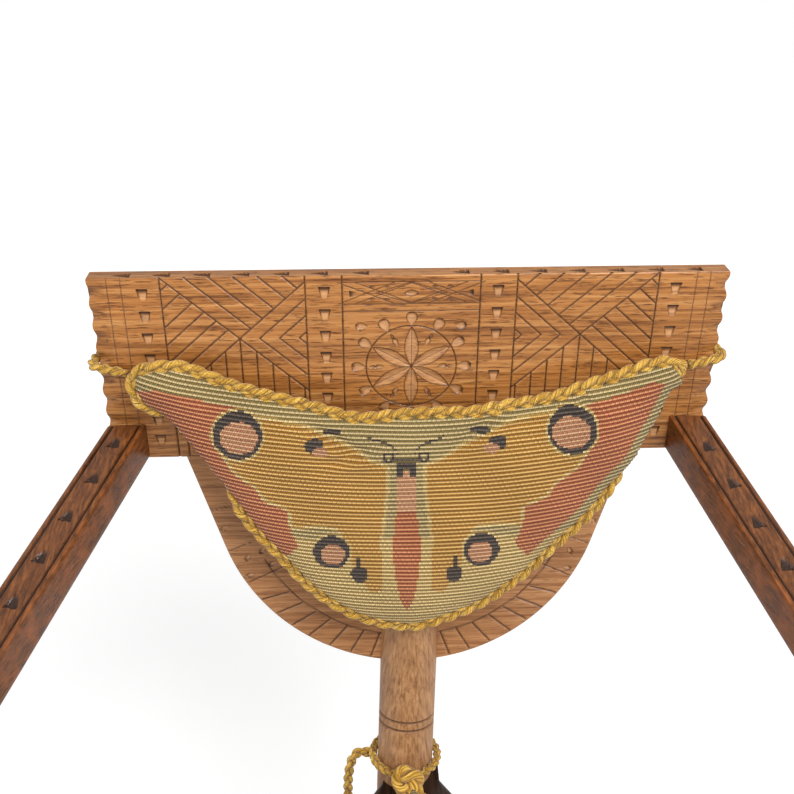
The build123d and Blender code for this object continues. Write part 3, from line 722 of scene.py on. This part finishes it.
def make_panel():
    """The panel as rings from the middle of its face over its edge to the middle of its back."""
    outline = panel_outline(520)
    centre = np.array([0.0, 70.0])
    shares = np.concatenate([[0.02, 0.25, 0.5], np.linspace(0.62, 0.985, 46)])
    rings = [(share, -PANEL_LEAD, 1) for share in shares]
    rings += [(0.996, 0.35 - PANEL_LEAD, 0), (1.0, 1.2 - PANEL_LEAD, 0)]
    rings += [(1.0, depth - PANEL_LEAD, 0) for depth in (5.0, 9.0, PANEL_THICK - 1.2)]
    rings += [(0.996, PANEL_THICK - PANEL_LEAD, 0), (0.9, PANEL_THICK - PANEL_LEAD, 0),
              (0.5, PANEL_THICK - PANEL_LEAD, 0), (0.02, PANEL_THICK - PANEL_LEAD, 0)]
    share, depth, front = (np.array(column)[:, None] for column in zip(*rings))
    x = centre[0] + share * (outline[:, 0][None, :] - centre[0])
    y = centre[1] + share * (outline[:, 1][None, :] - centre[1])
    depth_cut, painted_shade = (np.where(front > 0, values, 0.0) for values in carve_panel(x, y))
    wave = 0.4 * np.sin(x / 31.0 + 1.0) * np.sin(y / 27.0) * front
    local = np.stack([x, depth + depth_cut + wave, -y], axis=-1)
    points = to_world(PANEL_FRAME, local.reshape(-1, 3))
    points[:, 2] = np.minimum(points[:, 2], BOARD_BOTTOM)
    rows, columns = x.shape
    faces = []
    for r in range(rows - 1):
        for c in range(columns):
            after = (c + 1) % columns
            faces.append((r * columns + c, (r + 1) * columns + c, (r + 1) * columns + after, r * columns + after))
    faces.append(tuple(range(columns)))
    faces.append(tuple((rows - 1) * columns + c for c in reversed(range(columns))))
    panel = new_mesh("carved_back_panel", points, faces, MATERIALS["panel"])
    # painted shade in the carving's cuts
    set_values(panel, "cut", painted_shade)
    # painted highlight on the floors of the cuts, where they have little painted shade
    set_values(panel, "painted_cut_highlight", unit(depth_cut / 1.3) * unit(1 - 1.6 * painted_shade))
    panel.data.set_sharp_from_angle(angle=math.radians(50))
    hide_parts("back_panel")


# Cushions: outlines along the middle of their braid, x across and y down, in their own planes
BACK_FRAME = frame_of(Vector((MIDDLE_X, FACE_Y - 15 * MM, BOARD_BOTTOM + 99 * MM)), ((-16.2, "X"), (90, "X")))
SEAT_FRAME = frame_of(Vector((MIDDLE_X, FACE_Y, SEAT_TOP + 21.9 * MM)), ())
BACK_CORNERS = ((-226.0, 0.0), (0.0, -46.0), (226.0, 0.0))
SEAT_CORNERS = ((-222.0, -474.0), (0.0, -462.0), (222.0, -474.0))
SEAT_REAR = (0.0, -118.0)
SEAT_DRAW = 12.0


def arc_points(start, middle, end, count):
    """Points along the arc through three points, the last one left out."""
    (ax, ay), (bx, by), (cx, cy) = start, middle, end
    d = 2 * (ax * (by - cy) + bx * (cy - ay) + cx * (ay - by))
    ux = ((ax * ax + ay * ay) * (by - cy) + (bx * bx + by * by) * (cy - ay) + (cx * cx + cy * cy) * (ay - by)) / d
    uy = ((ax * ax + ay * ay) * (cx - bx) + (bx * bx + by * by) * (ax - cx) + (cx * cx + cy * cy) * (bx - ax)) / d
    radius = math.hypot(ax - ux, ay - uy)
    first, mid, last = (math.atan2(y - uy, x - ux) for x, y in (start, middle, end))
    turn = (last - first) % (2 * math.pi)
    if (mid - first) % (2 * math.pi) > turn:
        turn -= 2 * math.pi
    angles = first + turn * np.arange(count) / count
    return np.stack([ux + radius * np.cos(angles), uy + radius * np.sin(angles)], axis=-1)


# The back cushion's slanting sides, down from its top corners, blunt at first
BACK_RIGHT = ((226, 0), (232, 6), (230, 16), (219, 28), (209, 50), (198, 70), (185, 98), (169, 122), (151, 144),
              (135, 159), (118, 175), (102, 191), (84, 205), (64, 219), (42, 229), (20, 237), (0, 242))
BACK_LEFT = ((-226, 0), (-237, 5), (-238, 18), (-230, 31), (-218, 39), (-207, 50), (-193, 69), (-179, 88),
             (-161, 113), (-140, 144), (-117, 171), (-98, 194), (-76, 214), (-52, 229), (-26, 238), (0, 242))


# The points along its top edge, and how far that stands above its arc, from left to right, where stuffing lifts it
TOP_COUNT = 300
TOP_LIFT = ((-226, 0), (-208, 9), (-195, 13), (-183, 12), (-158, 9), (-133, 7), (-108, 5.5), (-83, 3), (-64, -1),
            (-45, -3.5), (-28, -1), (0, 2.5), (30, 2), (54, 0), (79, 2.5), (104, 1.5), (129, 1.5), (154, 4.5),
            (179, 4.5), (204, 5), (226, 0))


def smooth_line(points, count):
    """Points along one smooth line through some others."""
    points = np.array(points, dtype=float)
    place = np.concatenate([[0], np.cumsum(np.linalg.norm(np.diff(points, axis=0), axis=1))])
    slopes = np.gradient(points, place, axis=0)
    wanted = np.linspace(0, place[-1], count)
    index = np.clip(np.searchsorted(place, wanted, side="right") - 1, 0, len(place) - 2)
    run = (place[index + 1] - place[index])[:, None]
    u = (wanted - place[index])[:, None] / run
    return ((2 * u ** 3 - 3 * u ** 2 + 1) * points[index] + (u ** 3 - 2 * u ** 2 + u) * run * slopes[index]
            + (3 * u ** 2 - 2 * u ** 3) * points[index + 1] + (u ** 3 - u ** 2) * run * slopes[index + 1])


def back_outline():
    left, top, right = BACK_CORNERS
    sides = [smooth_line(side, 260) * (1, -1) for side in (BACK_RIGHT, BACK_LEFT)]
    edge = arc_points(left, top, right, TOP_COUNT)
    edge[:, 1] += np.interp(edge[:, 0], *zip(*TOP_LIFT))
    return np.concatenate([edge, sides[0], sides[1][::-1][1:-1]])


# How far the cover swells out over its braid down the right side, from how far down to how far
SWELL = 9.0
SWELL_DOWN = (6, 112)


def cover_outline():
    """The back cushion's rim where the cover swells out over its braid, down the right side."""
    rim = back_outline()
    down = -rim[:, 1]
    swell = SWELL * unit((down - SWELL_DOWN[0]) / 12.0) * unit((SWELL_DOWN[1] - down) / 25.0)
    rim[:, 0] += swell * (np.arange(len(rim)) >= TOP_COUNT) * (rim[:, 0] > 0)
    return rim


def seat_outline():
    left, front, right = SEAT_CORNERS
    run = SEAT_REAR[1] - front[1] + SEAT_DRAW
    inward = SEAT_DRAW / math.hypot(right[0], run)
    mid = (right[0] / 2 - inward * run, (right[1] + SEAT_REAR[1]) / 2 - inward * right[0])
    return np.concatenate([arc_points(left, front, right, 300), arc_points(right, mid, SEAT_REAR, 200),
                           arc_points(SEAT_REAR, (-mid[0], mid[1]), left, 200)])


def inside(points, x, y):
    """Which of some places lie inside a closed outline."""
    held = np.zeros(x.shape, dtype=bool)
    after = np.roll(points, -1, axis=0)
    for (ax, ay), (bx, by) in zip(points, after):
        if ay == by:
            continue
        crosses = ((ay > y) != (by > y)) & (x < (bx - ax) * (y - ay) / (by - ay) + ax)
        held ^= crosses
    return held


def rim_distance(points, x, y):
    """Distance of some places from a closed outline's points."""
    best = np.full(x.shape, 1e9)
    for px, py in points[::2]:
        best = np.minimum(best, (x - px) ** 2 + (y - py) ** 2)
    return np.sqrt(best)


# Yarns in pairs, the darker and the lighter row: ochre, olive, pale, salmon, coal, beige and blush
YARNS = np.array([[srgb(*dark)[:3], srgb(*light)[:3]] for dark, light in (
    ((150, 98, 22), (214, 170, 100)), ((122, 104, 56), (202, 178, 128)), ((160, 128, 62), (222, 194, 136)),
    ((146, 70, 42), (206, 138, 96)), ((54, 46, 44), (96, 84, 74)), ((178, 118, 84), (206, 160, 122)),
    ((186, 128, 92), (212, 164, 124)))])
# The moth's wing and its rosy border, x out from its body and y down, in millimetres
MOTH_MIDDLE = -6.0
WING = np.array([(14, 84), (30, 78), (46, 68), (62, 60), (88, 47), (118, 40), (136, 36), (150, 40), (158, 76),
                 (150, 90), (131, 104), (124, 116), (104, 124), (102, 143), (78, 140), (60, 143), (58, 152),
                 (50, 178), (34, 206), (18, 204), (20, 150), (14, 100)], dtype=float)
BORDER = np.array([(212, 16), (186, 22), (160, 29), (140, 34), (150, 40), (158, 76), (150, 90), (131, 104),
                   (124, 116), (104, 124), (102, 143), (95, 158), (125, 190), (180, 150), (225, 90), (250, 20)],
                  dtype=float)


def moth_colours(x, y, rim):
    """Yarn colours of a plain moth in needlepoint, as an index into YARNS, at some places."""
    out = np.abs(x - MOTH_MIDDLE)
    pick = np.where(y > 150, 2, 1)

    def dye(where, yarn):
        pick[where] = yarn

    def between(low, high):
        return (y > low) & (y < high)

    dye(inside(BORDER, out, y) & (rim > np.where(x > 0, 13.0, 3.0)), 3)
    wing = inside(WING, out, y)
    core = wing.copy()
    for dx, dy in ((3.2, 0), (-3.2, 0), (0, 3.2), (0, -3.2)):
        core &= inside(WING, out + dx, y + dy)
    dye(wing, 2)
    dye(core, 0)
    dye((out < 9.0) & between(90, 128), 6)
    taper = np.sqrt(unit(1 - (np.clip(y - 158, 0, None) / 62) ** 1.3))
    waist = np.where(y < 158, 0.7 + 0.3 * (y - 126) / 32, 1)
    dye(between(126, 220) & (out < 12.5 * taper * waist), 3)
    for cx, cy, size, wide, tall in ((144, 56, 21.0, 16.5, 14.0), (66, 163, 16.0, 10.8, 10.0)):
        away = np.hypot(out - cx, y - cy)
        dye(away < size + 2.2, 2)
        dye(away < size, 4)
        dye(np.hypot((out - cx + 1.0) / wide, (y - cy - 2.2) / tall) < 1, 5)
    for cx, cy, wide, tall, yarn in ((64, 56, 8.5, 2.6, 4), (79, 66, 8.5, 6.5, 4), (74, 71, 6.5, 4.6, 5)):
        dye(((out - cx) / wide) ** 2 + ((y - cy) / tall) ** 2 < 1, yarn)
    dye(np.hypot((out - 42) / 7.5, (y - 185) / 8.0) < 1, 4)
    dye((np.abs(out - 43) < 2.2) & between(168, 182), 4)
    # the head, its curled sides and its feelers
    dye((out < 8.5) & between(83, 87.5), 4)
    dye((out < 8.0) & (out > 2.0) & between(87, 94), 4)
    curl = np.hypot(out - 15, y - 77)
    dye((curl > 2.6) & (curl < 5.2) & (y > 73.5), 4)
    dye((out < 14) & (np.abs(y - 80.2) < 0.9), 4)
    feeler = np.interp(out, (6.5, 9, 11, 17, 23, 30, 33), (76, 72, 69, 66, 64, 62, 60))
    dye((out > 6.5) & (out < 33) & (np.abs(y - feeler) < 0.95), 4)
    return pick


# Soft folds in the back cushion: the middle of each, its angle and its depth
FOLDS = ((-70, 60, 28, 6.5), (-50, 74, -20, 4.5), (62, 52, -35, 5.5), (150, 32, 60, 3.0))


def stuffed(x, y, w, rim, crown, drawn, folds):
    """How high a cushion's cover stands at some places, with its rows' ribs, lumps and folds."""
    full = 1 - unit(rim / drawn)
    height = crown * (1 - full ** 2.2) ** 0.62
    rib = 0.42 * np.cos(2 * math.pi * w / (STITCH_ROW))
    lump = 0.9 * np.sin(x / 19.0 + 0.7) * np.sin(y / 23.0) + 0.6 * np.sin(x / 41.0) * np.cos(y / 37.0 + 1.0)
    height = height + (rib + lump) * unit(rim / 18.0)
    for px, py, turn, deep in folds:
        along, across = turned_to(x, y, (px, py), turn)
        height = height - deep * np.exp(-(across / 4.5) ** 2 - (along / 26.0) ** 2)
        height = height + 0.7 * deep * np.exp(-((across - 9) / 6.0) ** 2 - (along / 28.0) ** 2)
    return height


def stitch_colours(x, y, w, outline, patterned):
    """The colour of the yarn in each cell of a cushion's cover, from the middle of the cell."""
    row = np.floor(w / (STITCH_ROW / 2))
    column = np.floor(x / (STITCH_STEP))
    y = y + (row + 0.5) * STITCH_ROW / 2 - w
    rim = rim_distance(outline, x, -y)
    if patterned:
        pick = moth_colours(x, y, rim)
    else:
        pick = np.where(rim < 24, 1, np.where(rim < 40, 3, 0))
    mottle = 1 + 0.22 * np.sin(column * 12.9898 + row * 78.233) * np.sin(column * 3.1 + row * 1.7)
    pair = np.floor(row / 2)
    mottle += 0.07 * np.sin(pair * 2.4) + 0.09 * np.sin(pair * 5.1 + x / 37.0) * np.sin(x / 23.0 + pair)
    return YARNS[pick, (row % 2).astype(int)] * mottle[:, None]


def make_cushion(name, matrix, outline, crown, drawn, sag, patterned):
    """A stuffed cushion of stitched rows, its rim under the braid, drawn in at its edges."""
    low, high = outline.min(axis=0), outline.max(axis=0)
    columns = np.arange(low[0], high[0] + STITCH_STEP, STITCH_STEP)
    rows = np.arange(-high[1] - 2.0, -low[1] + 2.0, STITCH_ROW / 4)
    x, w = np.meshgrid(columns, rows)
    y = w - sag * (x / high[0]) ** 2 * (1.1 - w / 400.0)
    rim = rim_distance(outline, x, -y)
    held = inside(outline, x, -y) & (rim > 1.0)
    height = stuffed(x, y, w, rim, crown, drawn, FOLDS if patterned else ())
    cells = held[:-1, :-1] & held[1:, :-1] & held[:-1, 1:] & held[1:, 1:]
    grid = np.arange(x.size).reshape(x.shape)
    quads = np.stack([grid[:-1, :-1], grid[1:, :-1], grid[1:, 1:], grid[:-1, 1:]], axis=-1)[cells]
    uses = np.zeros(x.size, dtype=int)
    np.add.at(uses, quads.ravel(), 1)
    # points on the rim are shared by the front and the back, and the rest have one of each
    used, inner = uses > 0, uses == 4
    number = np.full(x.size, -1)
    number[used] = np.arange(used.sum())
    deep_number = number.copy()
    deep_number[inner] = number.max() + 1 + np.arange(inner.sum())
    flat = np.stack([x, -y, height], axis=-1).reshape(-1, 3)
    flat[used & ~inner, 2] = 0.0
    back = flat.copy()
    back[:, 2] = -np.abs(height.ravel()) * 0.8
    points = np.concatenate([flat[used], back[inner]])
    faces = number[quads].tolist() + deep_number[quads][:, ::-1].tolist()
    cushion = new_mesh(name + "_cover", to_world(matrix, points), faces, MATERIALS["needlepoint"])
    middles = [(values[:-1, :-1] + values[1:, 1:])[cells] / 2 for values in (x, y, w)]
    colour = np.ones((len(faces), 4))
    colour[:len(quads), :3] = stitch_colours(*middles, outline, patterned)
    colour[len(quads):, :3] = YARNS[1, 0]
    set_values(cushion, "stitch", np.repeat(colour, 4, axis=0), "FLOAT_COLOR", "CORNER")
    weave = np.stack([x / (STITCH_STEP), w / (STITCH_ROW / 2), 0 * x], axis=-1).reshape(-1, 3)
    set_values(cushion, "weave", np.concatenate([weave[used], weave[inner]]), "FLOAT_VECTOR")
    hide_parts(name)


# Braided cord

def resampled(points, step, closed):
    """Points at even steps along a line, and its length."""
    points = np.asarray(points, dtype=float)
    if closed:
        points = np.concatenate([points, points[:1]])
    runs = np.linalg.norm(np.diff(points, axis=0), axis=1)
    place = np.concatenate([[0], np.cumsum(runs)])
    count = max(8, int(round(place[-1] / step)))
    wanted = np.linspace(0, place[-1], count + 1)
    even = np.stack([np.interp(wanted, place, points[:, i]) for i in range(3)], axis=-1)
    return (even[:-1] if closed else even), place[-1]


def smoothed(points, span, closed):
    """A line with its corners rounded off by averaging over a span of points."""
    out = np.zeros_like(points)
    count = len(points)
    weights = np.hanning(2 * span + 3)[1:-1]
    for offset, weight in zip(range(-span, span + 1), weights):
        if closed:
            out += weight * np.roll(points, offset, axis=0)
        else:
            out += weight * points[np.clip(np.arange(count) + offset, 0, count - 1)]
    return out / weights.sum()


def along_line(line, closed):
    """The direction of a line at each of its points."""
    along = np.roll(line, -1, axis=0) - np.roll(line, 1, axis=0) if closed else np.gradient(line, axis=0)
    return along / np.linalg.norm(along, axis=1)[:, None]


def strand_mesh(lines, radius, closed, sides, twist):
    """Round strands along lines of points, the direction of their fibres, and the painted shade where each lies close
    to another.
    """
    points, faces, fibres, painted_strand_shade = [], [], [], []
    for line in lines:
        count = len(line)
        along = along_line(line, closed)
        aside = np.cross(along, np.array([0.12, 0.31, 0.94]))
        aside /= np.linalg.norm(aside, axis=1)[:, None]
        other = np.cross(along, aside)
        run = np.concatenate([[0], np.cumsum(np.linalg.norm(np.diff(line, axis=0), axis=1))])
        angle = np.arange(sides) * 2 * math.pi / sides
        c, s = np.cos(angle)[None, :, None], np.sin(angle)[None, :, None]
        thick = radius
        if not closed:
            end = np.minimum(np.arange(count), np.arange(count)[::-1])
            thick = radius * unit(0.35 + end / 3.0)[:, None, None]
        ring = line[:, None, :] + thick * (aside[:, None, :] * c + other[:, None, :] * s)
        others = np.concatenate([other_line for other_line in lines if other_line is not line] or [line + 1e3])
        # painted shade on each strand where it lies close to another
        near = np.array([np.min(np.sum((others - spot) ** 2, axis=1)) for spot in ring.reshape(-1, 3)])
        painted_strand_shade.append(unit(1.35 - np.sqrt(near) / (radius * 1.3)))
        base = sum(len(p) for p in points)
        points.append(ring.reshape(-1, 3))
        spin = angle[None, :] + twist * run[:, None]
        fibre = [run[:, None] * 0.055 + 0 * spin, np.cos(spin) * 3.3 + base * 0.01, np.sin(spin) * 3.3]
        fibres.append(np.stack(fibre, axis=-1).reshape(-1, 3))
        for r in range(count if closed else count - 1):
            here, after = base + r * sides, base + ((r + 1) % count) * sides
            for k in range(sides):
                n = (k + 1) % sides
                faces.append((here + k, here + n, after + n, after + k))
        if not closed:
            faces.append(tuple(base + k for k in reversed(range(sides))))
            faces.append(tuple(base + (count - 1) * sides + k for k in range(sides)))
    return np.concatenate(points), faces, np.concatenate(fibres), np.concatenate(painted_strand_shade)


def braid_lines(centre, normal, offset, lift, period, length, closed):
    """Centre lines of a flat braid's three strands along a line, with its face towards a normal."""
    count = len(centre)
    turns = round(length / period) if closed else length / period
    along = along_line(centre, closed)
    normal = normal - along * np.sum(normal * along, axis=1)[:, None]
    normal /= np.linalg.norm(normal, axis=1)[:, None]
    across = np.cross(normal, along)
    place = np.arange(count) / (count if closed else count - 1)
    phases = [2 * math.pi * (turns * place + index / 3) for index in range(3)]
    return [centre + offset * np.sin(phase)[:, None] * across + lift * np.sin(2 * phase)[:, None] * normal
            for phase in phases]


def cord_piece(name, matrix, lines, radius, closed, node, sides=10, twist=0.35):
    points, faces, fibres, painted_strand_shade = strand_mesh(lines, radius, closed, sides, twist)
    points = points * MM if matrix is None else to_world(matrix, points)
    piece = new_mesh(name, points, faces, MATERIALS["cord"])
    set_values(piece, "strand", fibres, "FLOAT_VECTOR")
    set_values(piece, "painted_strand_shade", painted_strand_shade)
    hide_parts(node)
    return piece


# Where the back cushion's braid slips behind it, left and right: from how far down, and to how far
SLIP_FROM = (34.0, 12.0)
SLIP_TO = (126.0, 106.0)
# How far it slips inward, up and back
SLIP = (7.0, 5.0, 8.0)


def make_cushion_braid(name, matrix, outline, tuck, node):
    """The thick three-strand braid sewn round a cushion's rim."""
    path = np.concatenate([outline, np.zeros((len(outline), 1))], axis=1)
    if tuck:
        # towards the upper corners, the braid of the two slanting sides slips behind the cushion
        x, y = path[:, 0], path[:, 1]
        drop, end = np.where(x < 0, *SLIP_FROM), np.where(x < 0, *SLIP_TO)
        slip = unit((-y - drop) / 10.0) * unit((end + y) / 25.0)
        slip = slip * (np.arange(len(path)) >= TOP_COUNT)
        path[:, 2] -= SLIP[2] * slip
        path[:, 0] -= np.sign(x) * SLIP[0] * slip
        path[:, 1] += SLIP[1] * slip
    path, length = resampled(path, 2.2, True)
    path = smoothed(path, 5, True)
    normal = np.tile([0.0, 0.0, 1.0], (len(path), 1))
    lines = braid_lines(path, normal, 3.9, 2.1, 46.0, length, True)
    cord_piece(name, matrix, lines, 3.15, True, node)


def thin_braid(name, points, normal, node, closed=False, size=1.0):
    """A thin cord of three strands along a line in millimetres, in the model's own frame."""
    path, length = resampled(points, 1.5, closed)
    path = smoothed(path, 3, closed)
    normal = np.tile(np.asarray(normal, dtype=float), (len(path), 1)) + 0.001
    lines = braid_lines(path, normal, 2.15 * size, 1.2 * size, 24.0 * size, length, closed)
    return cord_piece(name, None, lines, 1.85 * size, closed, node, sides=8)


def knot_piece(name, centre, size, node, tilt):
    """A round knot: one cord wound over and under itself about a centre, in millimetres."""
    t = np.linspace(0, 2 * math.pi, 160, endpoint=False)
    ring = 1 + 0.42 * np.cos(3 * t)
    local = np.stack([ring * np.cos(2 * t), ring * np.sin(2 * t), 0.62 * np.sin(3 * t)], axis=-1) * size * 0.47
    turn = np.array(Matrix.Rotation(math.radians(tilt[0]), 3, "X") @ Matrix.Rotation(math.radians(tilt[1]), 3, "Z"))
    line = local @ turn.T + np.asarray(centre)
    cord_piece(name, None, [line], size * 0.25, True, node, sides=12, twist=0.1)


def middle_of(node):
    low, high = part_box(node)
    return [(a + b) / 2 / MM for a, b in zip(low, high)]


# The cord round the board: how far it stands off, how high it is, and where it starts in from the end
TIE_STAND = 5.4
TIE_HEIGHT = 97.0
TIE_START = 26.0
# The cord round the post: its radius, and its height up the post with the tilt that it has there
RING_RADIUS = 32.4
RING_HEIGHT = 15.0
RING_TILT = 3.5


def make_ties():
    """The cord round the board, its knots, and the one round the foot of the post."""
    face = FACE_Y / MM
    end = BOARD_HALF / MM + TIE_STAND
    height = BOARD_BOTTOM / MM + TIE_HEIGHT
    start = BOARD_HALF / MM - TIE_START
    rear = face + BOARD_THICK / MM + TIE_STAND
    points = [(-start, face - TIE_STAND, height - 7), (-end + 3, face - TIE_STAND, height), (-end, face + 3, height),
              (-end + 3, rear, height), (end - 3, rear, height), (end, face + 3, height),
              (end - 3, face - TIE_STAND, height), (start, face - TIE_STAND, height - 7)]
    points = np.array(points) + (MIDDLE_X / MM, 0, 0)
    thin_braid("back_tie_cord", points, (0.05, 0.1, 1), "back_tie", size=1.3)
    for side, node in ((-1, "left_tie_knot"), (1, "right_tie_knot")):
        knot_piece(node + "_wound", middle_of(node), 10.0, node, (70, 30 * side))
    angle = np.linspace(0, 2 * math.pi, 120, endpoint=False)
    ring = np.stack([RING_RADIUS * np.cos(angle), RING_RADIUS * np.sin(angle),
                     RING_HEIGHT + RING_TILT * np.sin(angle)], axis=-1)
    up = np.array(POST_AXIS)[:3, 2]
    thin_braid("post_tie_ring", to_world(POST_AXIS, ring) / MM, up, "post_tie", closed=True, size=1.12)
    knot = np.array(middle_of("post_tie_knot")) + (0, -2, -3)
    knot_piece("post_tie_knot_wound", knot, 18.5, "post_tie_knot", (60, 20))


# The free end's route, x and y from the board's middle and face, and z from the floor
TAIL_ROUTE = ((-39, -70, 441), (-50, -66, 443), (-59, -70, 436), (-63, -76, 420), (-64, -80, 396),
              (-62, -82, 366), (-58, -82, 338), (-57, -80, 310))


def make_tail():
    """The free end of the post's cord, hanging down past the seat to a bare end."""
    curve = bpy.data.curves.new("tail_line", "CURVE")
    curve.dimensions = "3D"
    spline = curve.splines.new("NURBS")
    spline.points.add(len(TAIL_ROUTE) - 1)
    for point, (x, y, z) in zip(spline.points, TAIL_ROUTE):
        point.co = (x * MM + MIDDLE_X, y * MM + FACE_Y, z * MM, 1)
    spline.order_u = 3
    spline.use_endpoint_u = True
    spline.resolution_u = 12
    holder = new_object("tail_line", curve)
    mesh = bpy.data.meshes.new_from_object(holder)
    line = [tuple(vertex.co) for vertex in mesh.vertices]
    bpy.data.meshes.remove(mesh)
    bpy.data.objects.remove(holder)
    bpy.data.curves.remove(curve)
    tail = thin_braid("post_tie_tail_cord", np.array(line) / MM, (0.3, -1, 0.2), "post_tie_tail", size=1.3)


make_camera()
make_board()
make_arm(-1, "left_arm")
make_arm(1, "right_arm")
make_panel()
make_cushion("back_cushion", BACK_FRAME, cover_outline(), 19.0, 62.0, 34.0, True)
make_cushion("seat_cushion", SEAT_FRAME, seat_outline(), 20.0, 70.0, 0.0, False)
make_cushion_braid("back_cushion_cord", BACK_FRAME, back_outline(), True, "back_cushion_braid")
make_cushion_braid("seat_cushion_cord", SEAT_FRAME, seat_outline(), False, "seat_cushion_braid")
make_ties()
make_tail()

for name, key in (("seat", "seat"), ("post_tusk", "leg"), ("rear_leg", "leg"), ("left_front_leg", "leg"),
                  ("right_front_leg", "leg"), ("leg_wedges", "post"), ("back_post", "post"),
                  ("panel_pegs", "leg"), ("crest_pegs", "leg"), ("arm_wedges", "post"),
                  ("left_arm_post", "leg"), ("right_arm_post", "leg")):
    nodes[name].data.materials.clear()
    nodes[name].data.materials.append(MATERIALS[key])


# The floor's half side and its own glow: from how far out to how far it rises, from how strong and by how much
FLOOR_HALF = 6.0
GLOW_RUN = (0.9, 3.0)
GLOW_LOW = 0.30
GLOW_RISE = 0.32


def make_stage():
    """A pale floor that looks white to the camera and keeps the chair's soft shadow."""
    side = FLOOR_HALF
    s = Shader("floor")
    floor = new_mesh("floor", [(-side, -side, 0), (side, -side, 0), (side, side, 0), (-side, side, 0)],
                     [(0, 1, 2, 3)], s.material)
    s.look({"Base Color": (0.82, 0.82, 0.82, 1), "Roughness": 0.9})
    # the lamps light it less further out, so its own glow rises there
    away = s.add("ShaderNodeVectorMath", {0: s.place((1.0, 1.0, 1.0))}, operation="LENGTH").outputs["Value"]
    strength = s.plus(s.times(s.mask(away, *GLOW_RUN), GLOW_RISE), GLOW_LOW)
    glow = s.add("ShaderNodeEmission", {"Color": (1, 1, 1, 1), "Strength": strength})
    lit = s.add("ShaderNodeAddShader", {0: s.surface.outputs["BSDF"], 1: glow.outputs["Emission"]})
    seen = s.add("ShaderNodeLightPath").outputs["Is Camera Ray"]
    blend = s.add("ShaderNodeMixShader", {0: seen, 1: s.surface.outputs["BSDF"], 2: lit.outputs["Shader"]})
    output = s.tree.nodes["Material Output"]
    s.tree.links.new(blend.outputs["Shader"], output.inputs["Surface"])


def make_lights():
    world = bpy.data.worlds.new("studio")
    bpy.context.scene.world = world
    world.use_nodes = True
    tree = world.node_tree
    soft = tree.nodes["Background"]
    soft.inputs["Color"].default_value = (1, 1, 1, 1)
    soft.inputs["Strength"].default_value = 0.6
    white = tree.nodes.new("ShaderNodeBackground")
    white.inputs["Color"].default_value = (1, 1, 1, 1)
    seen = tree.nodes.new("ShaderNodeLightPath")
    blend = tree.nodes.new("ShaderNodeMixShader")
    tree.links.new(seen.outputs["Is Camera Ray"], blend.inputs["Fac"])
    tree.links.new(soft.outputs["Background"], blend.inputs[1])
    tree.links.new(white.outputs["Background"], blend.inputs[2])
    tree.links.new(blend.outputs["Shader"], tree.nodes["World Output"].inputs["Surface"])
    for name, place, size, power in (("key", (0.9, -1.2, 2.4), 1.2, 42.0), ("fill", (-1.6, -0.8, 1.9), 1.6, 16.0)):
        data = bpy.data.lights.new(name, "AREA")
        data.size = size
        data.energy = power
        lamp = new_object(name, data)
        lamp.location = place
        aim = Vector((0, FACE_Y, BOARD_BOTTOM)) - Vector(place)
        lamp.rotation_euler = aim.to_track_quat("-Z", "Y").to_euler()


make_stage()
make_lights()
bpy.context.scene.view_settings.view_transform = "Standard"
